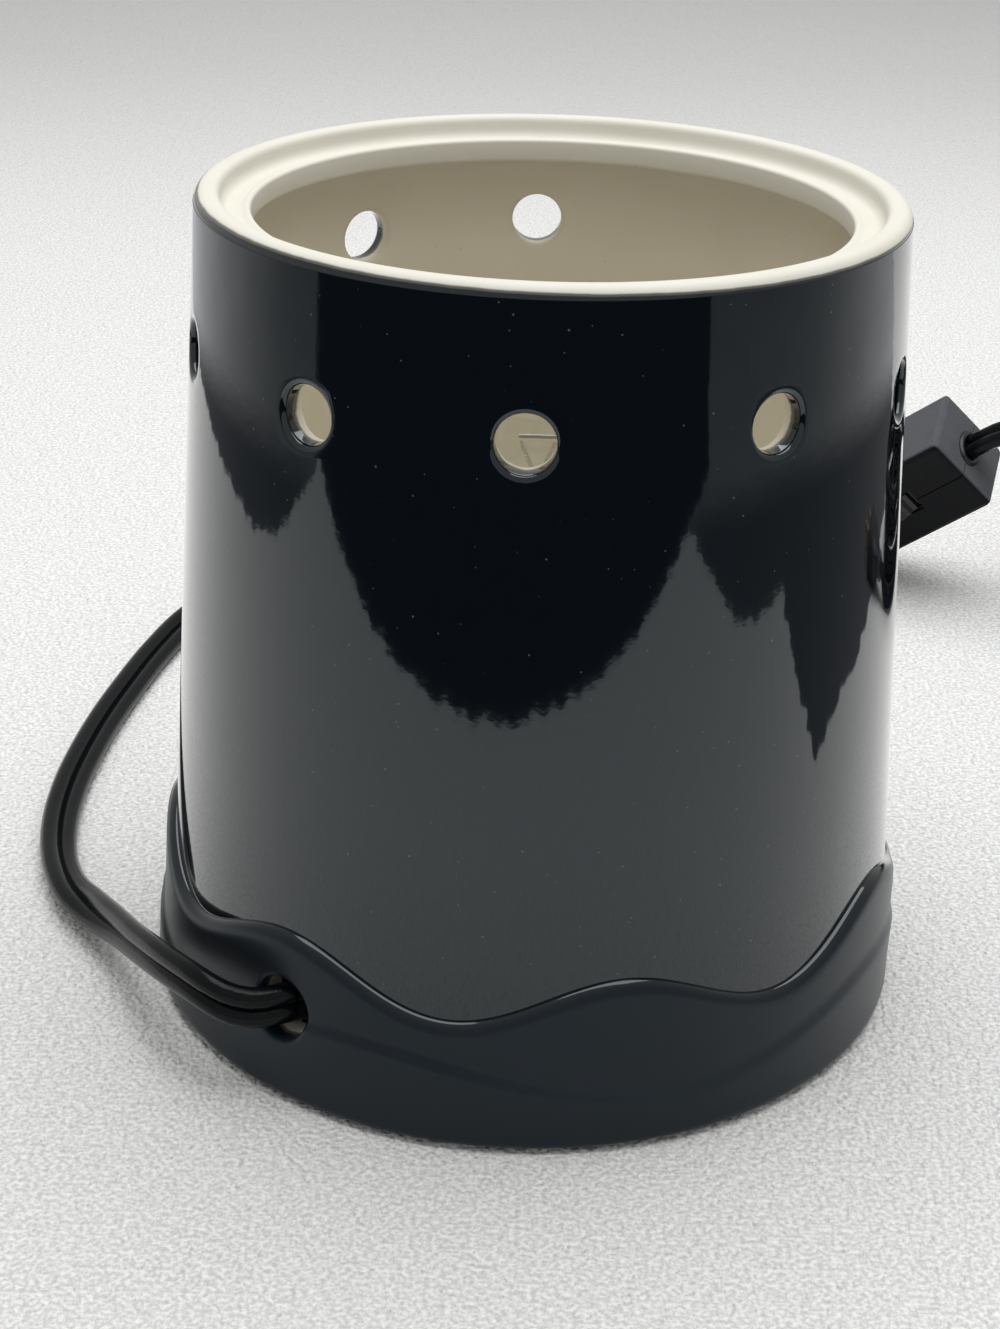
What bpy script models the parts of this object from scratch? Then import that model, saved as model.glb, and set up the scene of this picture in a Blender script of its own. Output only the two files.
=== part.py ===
"""Ceramic wax warmer with a bulb inside, a flat cord, an in-line switch and a plug.

The warmer stands on its rubber feet at z = 0 with its axis on Z, and its cord hole faces front left.
Lengths are in metres and angles in degrees, turned from the front (-Y) towards +X.
"""
import math

import bmesh
import bpy
from mathutils import Euler, Matrix, Vector

# Clearance between pieces that touch, and sides of round pieces by their size
GAP = 0.0003
SMALL_SIDES = 16
ROUND_SIDES = 24
LARGE_SIDES = 28

# Ceramic shell
HEIGHT = 0.1388
RIM_RADIUS = 0.057
BASE_RADIUS = 0.0643
WALL = 0.0045
FOOT_LIFT = 0.0008
FLOOR_UNDER = 0.026
FLOOR_THICK = 0.005
EDGE_ROUND = 0.0012
SHELL_SIDES = 80

# Stepped rim that seats a dish
RIM_LAND = 0.0041
SEAT_DEPTH = 0.003
SEAT_WIDTH = 0.0049
LIP_HEIGHT = 0.004

# Raised band round the foot
RELIEF = 0.0025
BAND_HEIGHT = 0.026
BAND_SWELL = 0.004
BAND_WAVES = 7
BAND_ROUND = 0.0025

# Air holes: angle and height of each centre
AIR_HOLE_RADIUS = 0.0045
AIR_HOLES = ((-143, 0.1187), (-109, 0.1155), (-75, 0.1153), (-38, 0.1153), (-3.6, 0.116),
             (35, 0.1166), (72, 0.1128), (107, 0.1155), (182, 0.12))

# Cord hole
CORD_HOLE_ANGLE = -38
CORD_HOLE_HEIGHT = 0.0165
CORD_HOLE_RADIUS = 0.00525
CORD_LEAVES_ANGLE = -65

# Bottom cover and feet
COVER_UNDER = 0.0022
COVER_THICK = 0.002
COVER_SIDES = 48
COVER_VENTS = 6
VENT_RADIUS = 0.002
VENT_SIDES = 12
VENT_CIRCLE = 0.022
FOOT_PAD_RADIUS = 0.006
FOOT_PAD_CIRCLE = 0.048
FOOT_PADS = 4
FOOT_PAD_TAPER = 0.85

# Screws
SCREW_RADIUS = 0.0015
SCREW_HEAD_RADIUS = 0.0032
SCREW_HEAD_HEIGHT = 0.0016
SMALL_SCREW_RADIUS = 0.0011
SMALL_HEAD_RADIUS = 0.0023
HEAD_CROWN = 0.7
HEAD_SIDE = 0.4

# Crossbar that holds the cover
CROSSBAR_SPAN = 0.076
CROSSBAR_WIDTH = 0.012
CROSSBAR_THICK = 0.0015
CROSSBAR_FLANGE = 0.011

# Hollow threaded nipple with its nut and washer
NIPPLE_RADIUS = 0.0048
NIPPLE_BORE = 0.0035
NIPPLE_BOTTOM = 0.015
NIPPLE_SUNK = 0.0014
NUT_FLATS = 0.014
NUT_HEIGHT = 0.005
WASHER_RADIUS = 0.0085
WASHER_THICK = 0.0015

# Lamp socket
SOCKET_RADIUS = 0.011
SOCKET_CAP_HEIGHT = 0.0055
SOCKET_CAP_TAPER = 0.7
SOCKET_TOP = 0.068
SOCKET_BORE_DEPTH = 0.023
SLEEVE_OUTER = 0.00715
SLEEVE_THICK = 0.0008
SLEEVE_LENGTH = 0.0185
SLEEVE_SUNK = 0.0015
SOCKET_CONTACT_RADIUS = 0.005

# Bulb with a candelabra cap
CAP_RADIUS = 0.00595
CAP_LENGTH = 0.0127
THREAD_PITCH = 0.00254
THREAD_DEPTH = 0.0005
THREADS = 4
TIP_RADIUS = 0.0024
TIP_HEIGHT = 0.0016
INSULATOR_HEIGHT = 0.0026
BULB_REST = 0.054
GLOBE_RADIUS = 0.0175
GLOBE_HEIGHT = 0.0965
NECK_RADIUS = 0.007
GLASS_THICK = 0.0008
GLOBE_STEP = 12
GLOBE_STEPS = 11
STEM_TOP = 0.0905
STEM_WAIST = 0.45
STEM_TIP = 0.35
FILAMENT_HALF = 0.0029
FILAMENT_OFFSET = -0.001
FILAMENT_HEIGHT = 0.097
WIRE_RADIUS = 0.00035

# Flat two-core cord, whose solids are round tubes of about its section
CORD_RADIUS = 0.0025
CORD_STEP = 0.009
BEND_STEP = 0.0075
CORD_END = 0.005
ROUTE_PARTS = 20
LEAD_RADIUS = 0.0011
LEAD_STEP = 0.0055
LEAD_SPREAD = 0.0013

# Cord clamp on the cover
CLAMP_PLACE = (0.0, -0.038)
CLAMP_WIDTH = 0.007
CLAMP_THICK = 0.0012
CLAMP_SCREW_REACH = 0.0085
CLAMP_SIDES = 12
CORD_LIFT = 0.0004

# In-line switch, its lower end on the table
SWITCH_PLACE = (0.0902, 0.1752, 0.0251)
SWITCH_TURN = (28, -38, -34)
SWITCH_LENGTH = 0.044
SWITCH_WIDTH = 0.020
SWITCH_HEIGHT = 0.0217
SWITCH_WALL = 0.002
SWITCH_ROUND = 0.0012
CHAMBER_LENGTH = 0.029
CHANNEL_WIDTH = 0.0078
CHANNEL_HEIGHT = 0.0046
WHEEL_RADIUS = 0.0085
WHEEL_THICK = 0.005
WHEEL_PROUD = 0.002
WHEEL_TEETH = 24
WHEEL_TOOTH = 0.0005
WHEEL_SLACK = 0.0006
AXLE_RADIUS = 0.0013
CONTACT_LENGTH = 0.011
CONTACT_HEIGHT = 0.005
CONTACT_THICK = 0.0006
CONTACT_INSET = 0.0019
SWITCH_SCREW_X = 0.0178
SWITCH_SCREW_Y = 0.0068
SWITCH_SCREW_TOP = 0.006
SWITCH_HEAD_HEIGHT = 0.0014

# Coil of spare cord: loops piled in layers, starting on top
COIL_CENTRE = (0.184, 0.176)
COIL_TURNS = 5
COIL_LAYERS = 4
COIL_INNER = 0.0376
COIL_PITCH = 0.0062
COIL_LAYER = 0.0076
COIL_LIFT = 0.0046
COIL_START = -108
LOOP_POINTS = 24
TIE_TURN = 35
TIE_WIDTH = 0.006
TIE_THICK = 0.0008
TIE_CLEAR = 0.0012

# Plug with two flat blades
PLUG_PLACE = (0.2225, 0.1165, 0.0085)
PLUG_HEADING = -16
PLUG_LENGTH = 0.030
PLUG_TAIL = 0.020
PLUG_HALF_WIDTH = 0.0125
PLUG_HALF_THICK = 0.0075
PLUG_TAIL_END = (0.0045, 0.00325)
PLUG_TAIL_MIDDLE = (0.0055, 0.004)
PLUG_SHOULDER = (0.0094, 0.0056)
BLADE_LENGTH = 0.0175
BLADE_THICK = 0.0015
BLADE_WIDE = 0.0079
BLADE_NARROW = 0.0063
BLADE_SPACING = 0.0127
BLADE_HOLE = 0.0016
BLADE_HOLE_SHIFT = 0.005
PLUG_SQUARE = 0.6

# Hand-chosen points of the cord's free stretches, between the pieces that they meet
ROUTE_TO_SWITCH = (
    (-0.0474, -0.0518, 0.0171), (-0.0508, -0.0504, 0.0178), (-0.0544, -0.0472, 0.0180),
    (-0.0608, -0.0382, 0.0162), (-0.0668, -0.0272, 0.0129), (-0.0725, -0.0157, 0.0094),
    (-0.0786, -0.0050, 0.0064), (-0.0847, 0.0062, 0.0042), (-0.0892, 0.0195, 0.0029),
    (-0.0916, 0.0340, 0.0026), (-0.0922, 0.0490, 0.0026), (-0.0915, 0.0640, 0.0026),
    (-0.0900, 0.0795, 0.0026), (-0.0876, 0.0955, 0.0026), (-0.0842, 0.1140, 0.0026),
    (-0.0790, 0.1335, 0.0026), (-0.0700, 0.1525, 0.0026), (-0.0560, 0.1690, 0.0026),
    (-0.0370, 0.1825, 0.0026), (-0.0155, 0.1925, 0.0026), (0.0075, 0.1988, 0.0026),
    (0.0290, 0.2010, 0.0026), (0.0460, 0.1995, 0.0027), (0.0580, 0.1953, 0.0034),
)
ROUTE_TO_COIL = (
    (0.1157, 0.1580, 0.0464), (0.1244, 0.1521, 0.0469), (0.1328, 0.1468, 0.0432),
    (0.1398, 0.1429, 0.0364), (0.1488, 0.1388, 0.0298),
)
ROUTE_TO_PLUG = ((0.1900, 0.1265, 0.0062),)
ROUTE_INSIDE = ((-0.0314, -0.0451, 0.0158), (-0.0240, -0.0412, 0.0132), (-0.0165, -0.0388, 0.0098))
LEAD_ROUTES = {
    "live_lead": ((0.0105, -0.0358, 0.0071), (0.0140, -0.0285, 0.0072), (0.0115, -0.0180, 0.0074),
                  (0.0050, -0.0090, 0.0080), (0.0002, -0.0033, 0.0094)),
    "neutral_lead": ((0.0125, -0.0389, 0.0071), (0.0175, -0.0295, 0.0072), (0.0150, -0.0170, 0.0074),
                     (0.0085, -0.0075, 0.0080), (0.0033, -0.0023, 0.0094)),
}

# Values that several pieces share
FLOOR_TOP = FLOOR_UNDER + FLOOR_THICK
COVER_TOP = COVER_UNDER + COVER_THICK
CORD_ON_COVER = COVER_TOP + CORD_LIFT + CORD_RADIUS
SOCKET_CAP_BOTTOM = FLOOR_TOP + GAP
SOCKET_BOTTOM = SOCKET_CAP_BOTTOM + SOCKET_CAP_HEIGHT + GAP
SOCKET_BORE_BOTTOM = SOCKET_TOP - SOCKET_BORE_DEPTH
CAP_BOTTOM = BULB_REST + TIP_HEIGHT + INSULATOR_HEIGHT + 2 * GAP
GLASS_BOTTOM = CAP_BOTTOM + CAP_LENGTH + GAP
WHEEL_OFFSET = -(SWITCH_WIDTH / 2 + WHEEL_PROUD - WHEEL_RADIUS)
SWITCH_MATRIX = Matrix.Translation(SWITCH_PLACE) @ Euler(
    [math.radians(turn) for turn in SWITCH_TURN]).to_matrix().to_4x4()


def clear_scene():
    for old in list(bpy.data.objects):
        bpy.data.objects.remove(old, do_unlink=True)


def finish(name, colour, roughness, metallic=0.0):
    """Principled material of one colour."""
    material = bpy.data.materials.new(name)
    material.use_nodes = True
    shader = material.node_tree.nodes["Principled BSDF"]
    shader.inputs["Base Color"].default_value = (*colour, 1.0)
    shader.inputs["Roughness"].default_value = roughness
    shader.inputs["Metallic"].default_value = metallic
    return material


def place(name, mesh, material, matrix=None):
    """Object with this mesh, material and place."""
    mesh.materials.append(material)
    piece = bpy.data.objects.new(name, mesh)
    bpy.context.scene.collection.objects.link(piece)
    if matrix is not None:
        piece.matrix_world = matrix
    return piece


def to_mesh(name, bm, smooth_angle=35):
    """Mesh from a bmesh, faces outward, smooth where faces meet gently."""
    bmesh.ops.remove_doubles(bm, verts=bm.verts, dist=1e-6)
    bmesh.ops.dissolve_degenerate(bm, dist=1e-7, edges=bm.edges)
    bmesh.ops.recalc_face_normals(bm, faces=bm.faces)
    mesh = bpy.data.meshes.new(name)
    bm.to_mesh(mesh)
    bm.free()
    mesh.shade_smooth()
    mesh.set_sharp_from_angle(angle=math.radians(smooth_angle))
    return mesh


def turned(name, profile, sides=ROUND_SIDES):
    """Turned solid: a chain from axis to axis, or a closed outline clear of the axis."""
    bm = bmesh.new()
    points = [bm.verts.new((radius, 0, height)) for radius, height in profile]
    pairs = list(zip(points, points[1:]))
    if profile[0][0] > 0:
        pairs.append((points[-1], points[0]))
    edges = [bm.edges.new(pair) for pair in pairs]
    bmesh.ops.spin(bm, geom=points + edges, cent=(0, 0, 0), axis=(0, 0, 1), angle=math.tau,
                   steps=sides, use_merge=True)
    return to_mesh(name, bm)


def ring(inner, outer, bottom, top):
    """Outline of a plain washer or sleeve."""
    return ((inner, bottom), (outer, bottom), (outer, top), (inner, top))


def extruded(name, outline, low, high, axes="XY"):
    """Flat outline drawn out between two heights, lying in the named plane."""
    order = {"XY": (0, 1, 2), "YZ": (2, 0, 1), "XZ": (0, 2, 1)}[axes]
    bm = bmesh.new()
    corners = [bm.verts.new([(*point, low)[i] for i in order]) for point in outline]
    face = bm.faces.new(corners)
    grown = bmesh.ops.extrude_face_region(bm, geom=[face])["geom"]
    lift = Vector([(0, 0, high - low)[i] for i in order])
    bmesh.ops.translate(bm, vec=lift, verts=[v for v in grown if isinstance(v, bmesh.types.BMVert)])
    return to_mesh(name, bm)


def box(name, size, rounding=0.0, segments=2):
    """Block about the origin, with rounded edges."""
    bm = bmesh.new()
    bmesh.ops.create_cube(bm, size=1.0)
    bmesh.ops.scale(bm, vec=size, verts=bm.verts)
    if rounding:
        bmesh.ops.bevel(bm, geom=bm.edges, offset=rounding, segments=segments, profile=0.5, affect="EDGES")
    return to_mesh(name, bm)


def slug(name, radius, low, high, sides=ROUND_SIDES):
    """Round bar along Z between two heights, with flat ends of one face."""
    turns = [math.tau * index / sides for index in range(sides)]
    circle = [(radius * math.cos(turn), radius * math.sin(turn)) for turn in turns]
    return extruded(name, circle, low, high)


def cylinder(name, radius, length, sides=ROUND_SIDES):
    """Round bar along Z about the origin."""
    return slug(name, radius, -length / 2, length / 2, sides)


def cut(piece, name, *shapes):
    """Take shapes, each a mesh and its place, out of a piece; the shapes don't meet each other."""
    bm = bmesh.new()
    for mesh, matrix in shapes:
        moved = mesh.copy()
        moved.transform(matrix)
        bm.from_mesh(moved)
        bpy.data.meshes.remove(moved)
    joined = bpy.data.meshes.new(name)
    bm.to_mesh(joined)
    bm.free()
    cutter = bpy.data.objects.new(name, joined)
    bpy.context.scene.collection.objects.link(cutter)
    cutter.hide_render = True
    cutter.display_type = "WIRE"
    modifier = piece.modifiers.new(name, "BOOLEAN")
    modifier.operation = "DIFFERENCE"
    modifier.solver = "EXACT"
    modifier.object = cutter


def smooth_route(points, step):
    """Points about a step apart on a smooth curve through the route, its end spans straight."""
    route = [Vector(point) for point in points]
    first, last = route[0], route[-1]
    route = route[1:-1]
    leaving = (route[0] - first).normalized() * (route[1] - route[0]).length
    arriving = (last - route[-1]).normalized() * (route[-1] - route[-2]).length
    route = [route[1] - 2 * leaving, *route, route[-2] + 2 * arriving]
    fine = []
    for before, start, end, after in zip(route, route[1:], route[2:], route[3:]):
        leave = start + (end - before) / 6
        reach = end - (after - start) / 6
        for index in range(ROUTE_PARTS):
            t = index / ROUTE_PARTS
            fine.append((1 - t) ** 3 * start + 3 * (1 - t) ** 2 * t * leave
                        + 3 * (1 - t) * t ** 2 * reach + t ** 3 * end)
    fine.append(route[-2])
    length = sum((b - a).length for a, b in zip(fine, fine[1:]))
    count = max(2, round(length / step))
    even = [fine[0]]
    travelled = 0.0
    for a, b in zip(fine, fine[1:]):
        span = (b - a).length
        while len(even) < count and travelled + span >= length * len(even) / count:
            even.append(a.lerp(b, (length * len(even) / count - travelled) / span))
        travelled += span
    return [first, *even, fine[-1], last]


def tube(name, points, radius, material, bevel_resolution):
    """Round tube with filled caps along the points."""
    curve = bpy.data.curves.new(name, "CURVE")
    curve.dimensions = "3D"
    spline = curve.splines.new("POLY")
    spline.points.add(len(points) - 1)
    for knot, point in zip(spline.points, points):
        knot.co = (*point, 1.0)
    curve.bevel_depth = radius
    curve.bevel_resolution = bevel_resolution
    curve.use_fill_caps = True
    curve.materials.append(material)
    piece = bpy.data.objects.new(name, curve)
    bpy.context.scene.collection.objects.link(piece)
    length = sum((Vector(b) - Vector(a)).length for a, b in zip(points, points[1:]))
    print(f"{name}: {len(points)} points, {length:.3f} m long")
    return piece


def around(angle, radius, height):
    """Point at an angle from the front, a radius and a height."""
    turn = math.radians(angle)
    return Vector((radius * math.sin(turn), -radius * math.cos(turn), height))


def outer_radius(height):
    return BASE_RADIUS + (RIM_RADIUS - BASE_RADIUS) * height / HEIGHT


def inner_radius(height):
    return outer_radius(height) - WALL


def band_edge(angle):
    """Height of the raised band's wavy top edge, with a crest over the cord hole."""
    return BAND_HEIGHT + BAND_SWELL * math.cos(BAND_WAVES * math.radians(angle - CORD_HOLE_ANGLE))


def shell_profile(angle):
    """Outline of the shell's wall at one angle, from the foot round by the outside."""
    edge = band_edge(angle)
    foot = outer_radius(FOOT_LIFT) + RELIEF
    seat = HEIGHT - SEAT_DEPTH
    lip_radius = RIM_RADIUS - RIM_LAND - SEAT_WIDTH
    round_corner = EDGE_ROUND * (1 - math.sqrt(0.5))
    return (
        (inner_radius(FOOT_LIFT), FOOT_LIFT),
        (foot - EDGE_ROUND, FOOT_LIFT),
        (foot - round_corner, FOOT_LIFT + round_corner),
        (foot, FOOT_LIFT + EDGE_ROUND),
        (outer_radius(edge - BAND_ROUND) + RELIEF, edge - BAND_ROUND),
        (outer_radius(edge) + RELIEF * math.sqrt(0.5), edge - BAND_ROUND * (1 - math.sqrt(0.5))),
        (outer_radius(edge), edge),
        (outer_radius(HEIGHT - EDGE_ROUND), HEIGHT - EDGE_ROUND),
        (RIM_RADIUS - round_corner, HEIGHT - round_corner),
        (RIM_RADIUS - EDGE_ROUND, HEIGHT),
        (RIM_RADIUS - RIM_LAND, HEIGHT),
        (RIM_RADIUS - RIM_LAND, seat),
        (lip_radius, seat),
        (lip_radius, seat - LIP_HEIGHT),
        (inner_radius(seat - LIP_HEIGHT), seat - LIP_HEIGHT),
        (inner_radius(FLOOR_TOP), FLOOR_TOP),
        (NIPPLE_RADIUS + 2 * GAP, FLOOR_TOP),
        (NIPPLE_RADIUS + 2 * GAP, FLOOR_UNDER),
        (inner_radius(FLOOR_UNDER), FLOOR_UNDER))


def make_shell(glaze):
    """Shell with a wavy band, bored for air and for the cord."""
    bm = bmesh.new()
    columns = []
    for index in range(SHELL_SIDES):
        angle = 360 * index / SHELL_SIDES
        columns.append([bm.verts.new(around(angle, *point)) for point in shell_profile(angle)])
    for left, right in zip(columns, columns[1:] + columns[:1]):
        for a, b, c, d in zip(left, left[1:] + left[:1], right[1:] + right[:1], right):
            bm.faces.new((a, b, c, d))
    shell = place("ceramic_shell", to_mesh("ceramic_shell", bm), glaze)
    depth = 4 * WALL
    air_hole = cylinder("air_hole", AIR_HOLE_RADIUS, depth)
    cord_hole = cylinder("cord_hole", CORD_HOLE_RADIUS, depth)
    cut(shell, "shell_holes", *[(air_hole, hole_matrix(*hole)) for hole in AIR_HOLES],
        (cord_hole, hole_matrix(CORD_HOLE_ANGLE, CORD_HOLE_HEIGHT)))


def hole_matrix(angle, height):
    """Place of a hole bored level through the wall."""
    centre = around(angle, outer_radius(height) - WALL / 2, height)
    return Matrix.Translation(centre) @ Matrix.Rotation(math.radians(angle), 4, "Z") @ Matrix.Rotation(
        math.radians(90), 4, "X")


def screw_profile(radius, head_radius, head_height, length):
    """Outline of a pan-head screw pointing up, its head below z = 0."""
    return ((0, -head_height), (head_radius * HEAD_CROWN, -head_height),
            (head_radius, -head_height * HEAD_SIDE), (head_radius, 0), (radius, 0), (radius, length),
            (0, length))


def make_base(steel, rubber, black):
    """Bottom cover on its crossbar, with screws and feet."""
    cover_radius = inner_radius(COVER_TOP) - 2 * GAP
    disc = slug("bottom_cover", cover_radius, COVER_UNDER, COVER_TOP, COVER_SIDES)
    cover = place("bottom_cover", disc, black)
    leg = CROSSBAR_SPAN / 2
    screw_x = leg + CROSSBAR_FLANGE / 2
    bored = COVER_UNDER + COVER_THICK / 2
    screws = [(side * screw_x, 0, bored) for side in (-1, 1)]
    holes = [(point, SCREW_RADIUS + GAP) for point in screws]
    for side in (-1, 1):
        clamp_screw = (CLAMP_PLACE[0], CLAMP_PLACE[1] + side * CLAMP_SCREW_REACH, bored)
        holes.append((clamp_screw, SMALL_SCREW_RADIUS + GAP))
    for index in range(COVER_VENTS):
        holes.append((around(360 * (index + 0.5) / COVER_VENTS, VENT_CIRCLE, bored), VENT_RADIUS))
    cut(cover, "cover_holes", *[
        (cylinder("cover_hole", radius, 2 * COVER_THICK, VENT_SIDES), Matrix.Translation(point))
        for point, radius in holes])

    top = FLOOR_UNDER - GAP
    low = COVER_TOP + GAP
    thick = CROSSBAR_THICK
    outline = ((-leg, top), (leg, top), (leg, low + thick), (leg + CROSSBAR_FLANGE, low + thick),
               (leg + CROSSBAR_FLANGE, low), (leg - thick, low), (leg - thick, top - thick),
               (thick - leg, top - thick), (thick - leg, low), (-leg - CROSSBAR_FLANGE, low),
               (-leg - CROSSBAR_FLANGE, low + thick), (-leg, low + thick))
    strip = extruded("crossbar", outline, -CROSSBAR_WIDTH / 2, CROSSBAR_WIDTH / 2, "XZ")
    crossbar = place("crossbar", strip, steel)
    nipple_hole = cylinder("nipple_hole", NIPPLE_RADIUS + GAP, 4 * thick)
    flange_hole = cylinder("flange_hole", SCREW_RADIUS + GAP, 4 * thick, SMALL_SIDES)
    cut(crossbar, "crossbar_holes", (nipple_hole, Matrix.Translation((0, 0, top - thick / 2))),
        *[(flange_hole, Matrix.Translation((x, y, low + thick / 2))) for x, y, _ in screws])
    screw_length = COVER_THICK + thick + 4 * GAP
    for number, (x, y, _) in enumerate(screws, 1):
        profile = screw_profile(SCREW_RADIUS, SCREW_HEAD_RADIUS, SCREW_HEAD_HEIGHT, screw_length)
        place(f"cover_screw_{number}", turned("cover_screw", profile, SMALL_SIDES), steel,
              Matrix.Translation((x, y, COVER_UNDER - GAP)))

    pad = ((0, 0), (FOOT_PAD_RADIUS * FOOT_PAD_TAPER, 0), (FOOT_PAD_RADIUS, COVER_UNDER / 3),
           (FOOT_PAD_RADIUS, COVER_UNDER - GAP), (0, COVER_UNDER - GAP))
    for number in range(1, FOOT_PADS + 1):
        angle = 360 * (number - 0.5) / FOOT_PADS
        place(f"rubber_foot_{number}", turned("rubber_foot", pad), rubber,
              Matrix.Translation(around(angle, FOOT_PAD_CIRCLE, 0)))


def make_nipple(steel, brass):
    """Hollow nipple through the floor, with the washer and nut that clamp the crossbar."""
    nipple_top = SOCKET_CAP_BOTTOM + SOCKET_CAP_HEIGHT - NIPPLE_SUNK
    sleeve = ring(NIPPLE_BORE, NIPPLE_RADIUS, NIPPLE_BOTTOM, nipple_top)
    place("threaded_nipple", turned("threaded_nipple", sleeve), brass)
    washer_top = FLOOR_UNDER - CROSSBAR_THICK - 2 * GAP
    washer = ring(NIPPLE_RADIUS + GAP, WASHER_RADIUS, washer_top - WASHER_THICK, washer_top)
    place("lock_washer", turned("lock_washer", washer), steel)
    nut_top = washer_top - WASHER_THICK - GAP
    corner = NUT_FLATS / math.sqrt(3)
    hexagon = [(corner * math.cos(math.tau * i / 6), corner * math.sin(math.tau * i / 6)) for i in range(6)]
    nut = place("nipple_nut", extruded("nipple_nut", hexagon, nut_top - NUT_HEIGHT, nut_top), brass)
    cut(nut, "nut_hole", (cylinder("nut_hole", NIPPLE_RADIUS + GAP, 2 * NUT_HEIGHT),
                          Matrix.Translation((0, 0, nut_top - NUT_HEIGHT / 2))))


def make_socket(phenolic, brass, steel):
    """Lamp socket: cap on the nipple, moulded body, screw shell and centre contact."""
    bore = NIPPLE_RADIUS + GAP
    cap_top = SOCKET_CAP_BOTTOM + SOCKET_CAP_HEIGHT
    place("socket_cap", turned("socket_cap", (
        (bore, SOCKET_CAP_BOTTOM), (SOCKET_RADIUS * SOCKET_CAP_TAPER, SOCKET_CAP_BOTTOM),
        (SOCKET_RADIUS, SOCKET_CAP_BOTTOM + SOCKET_CAP_HEIGHT / 2), (SOCKET_RADIUS, cap_top),
        (bore, cap_top))), steel)
    pocket = SLEEVE_OUTER + GAP
    chamfer = EDGE_ROUND / 2
    place("socket_body", turned("socket_body", (
        (NIPPLE_BORE, SOCKET_BOTTOM), (SOCKET_RADIUS, SOCKET_BOTTOM), (SOCKET_RADIUS, SOCKET_TOP - chamfer),
        (SOCKET_RADIUS - chamfer, SOCKET_TOP), (pocket, SOCKET_TOP), (pocket, SOCKET_BORE_BOTTOM),
        (NIPPLE_BORE, SOCKET_BORE_BOTTOM)), LARGE_SIDES), phenolic)
    sleeve_top = SOCKET_TOP - SLEEVE_SUNK
    place("socket_screw_shell", turned("socket_screw_shell", ring(
        SLEEVE_OUTER - SLEEVE_THICK, SLEEVE_OUTER, sleeve_top - SLEEVE_LENGTH, sleeve_top)), brass)
    plate = SOCKET_BORE_BOTTOM + GAP
    tongue = 2 * SLEEVE_THICK
    place("socket_centre_contact", turned("socket_centre_contact", (
        (0, plate), (SOCKET_CONTACT_RADIUS, plate), (SOCKET_CONTACT_RADIUS, plate + SLEEVE_THICK),
        (tongue, plate + tongue), (tongue, BULB_REST - GAP), (0, BULB_REST - GAP))), brass)


def globe_outline(radius, neck, bottom):
    """Chain from the top of a globe down its side to the neck's end."""
    globe = [(radius * math.sin(turn), GLOBE_HEIGHT + radius * math.cos(turn))
             for turn in (math.radians(GLOBE_STEP * step) for step in range(1, GLOBE_STEPS + 1))]
    return [(0, GLOBE_HEIGHT + radius), *globe, (neck, globe[-1][1] - neck / 2), (neck, bottom)]


def make_bulb(glass, brass, black, nickel):
    """Clear bulb: glass, screw cap, insulator, contact, stem, support wires and filament."""
    outside = globe_outline(GLOBE_RADIUS, NECK_RADIUS, GLASS_BOTTOM)
    inside = globe_outline(GLOBE_RADIUS - GLASS_THICK, NECK_RADIUS - GLASS_THICK, GLASS_BOTTOM)
    place("bulb_glass", turned("bulb_glass", outside + inside[::-1], LARGE_SIDES), glass)

    cap = [(0, CAP_BOTTOM), (CAP_RADIUS - 2 * THREAD_DEPTH, CAP_BOTTOM)]
    for number in range(THREADS):
        start = CAP_BOTTOM + THREAD_PITCH * (number + 0.25)
        cap += [(CAP_RADIUS - THREAD_DEPTH, start), (CAP_RADIUS, start + THREAD_PITCH / 2)]
    cap_top = CAP_BOTTOM + CAP_LENGTH
    cap += [(CAP_RADIUS - THREAD_DEPTH, CAP_BOTTOM + THREAD_PITCH * (THREADS + 0.25)),
            (NECK_RADIUS, cap_top - THREAD_PITCH / 2), (NECK_RADIUS, cap_top), (0, cap_top)]
    place("bulb_screw_cap", turned("bulb_screw_cap", cap), brass)
    insulator_bottom = BULB_REST + TIP_HEIGHT + GAP
    insulator_top = insulator_bottom + INSULATOR_HEIGHT
    place("bulb_insulator", turned("bulb_insulator", (
        (0, insulator_bottom), (CAP_RADIUS / 2, insulator_bottom),
        (CAP_RADIUS - 2 * THREAD_DEPTH, insulator_top), (0, insulator_top))), black)
    place("bulb_centre_contact", turned("bulb_centre_contact", (
        (0, BULB_REST), (TIP_RADIUS / 2, BULB_REST), (TIP_RADIUS, BULB_REST + TIP_HEIGHT / 2),
        (TIP_RADIUS, BULB_REST + TIP_HEIGHT), (0, BULB_REST + TIP_HEIGHT))), nickel)

    stem_bottom = GLASS_BOTTOM + GAP
    flare = NECK_RADIUS - GLASS_THICK - 2 * GAP
    place("bulb_stem", turned("bulb_stem", (
        (0, stem_bottom), (flare, stem_bottom), (flare * STEM_WAIST, stem_bottom + flare),
        (flare * STEM_TIP, STEM_TOP), (0, STEM_TOP))), glass)
    for number, side in enumerate((-1, 1), 1):
        foot = Vector((FILAMENT_OFFSET + side * 2 * WIRE_RADIUS, 0, STEM_TOP + GAP))
        tip = Vector((FILAMENT_OFFSET + side * FILAMENT_HALF, 0, FILAMENT_HEIGHT - 2 * WIRE_RADIUS - GAP))
        tube(f"bulb_lead_wire_{number}", [foot, foot.lerp(tip, 0.5), tip], WIRE_RADIUS, nickel, 2)
    reach = FILAMENT_HALF + WIRE_RADIUS
    ends = [Vector((FILAMENT_OFFSET + side * reach, 0, FILAMENT_HEIGHT)) for side in (-1, 1)]
    tube("bulb_filament", [ends[0], ends[0].lerp(ends[1], 0.5), ends[1]], WIRE_RADIUS, nickel, 2)


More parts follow.
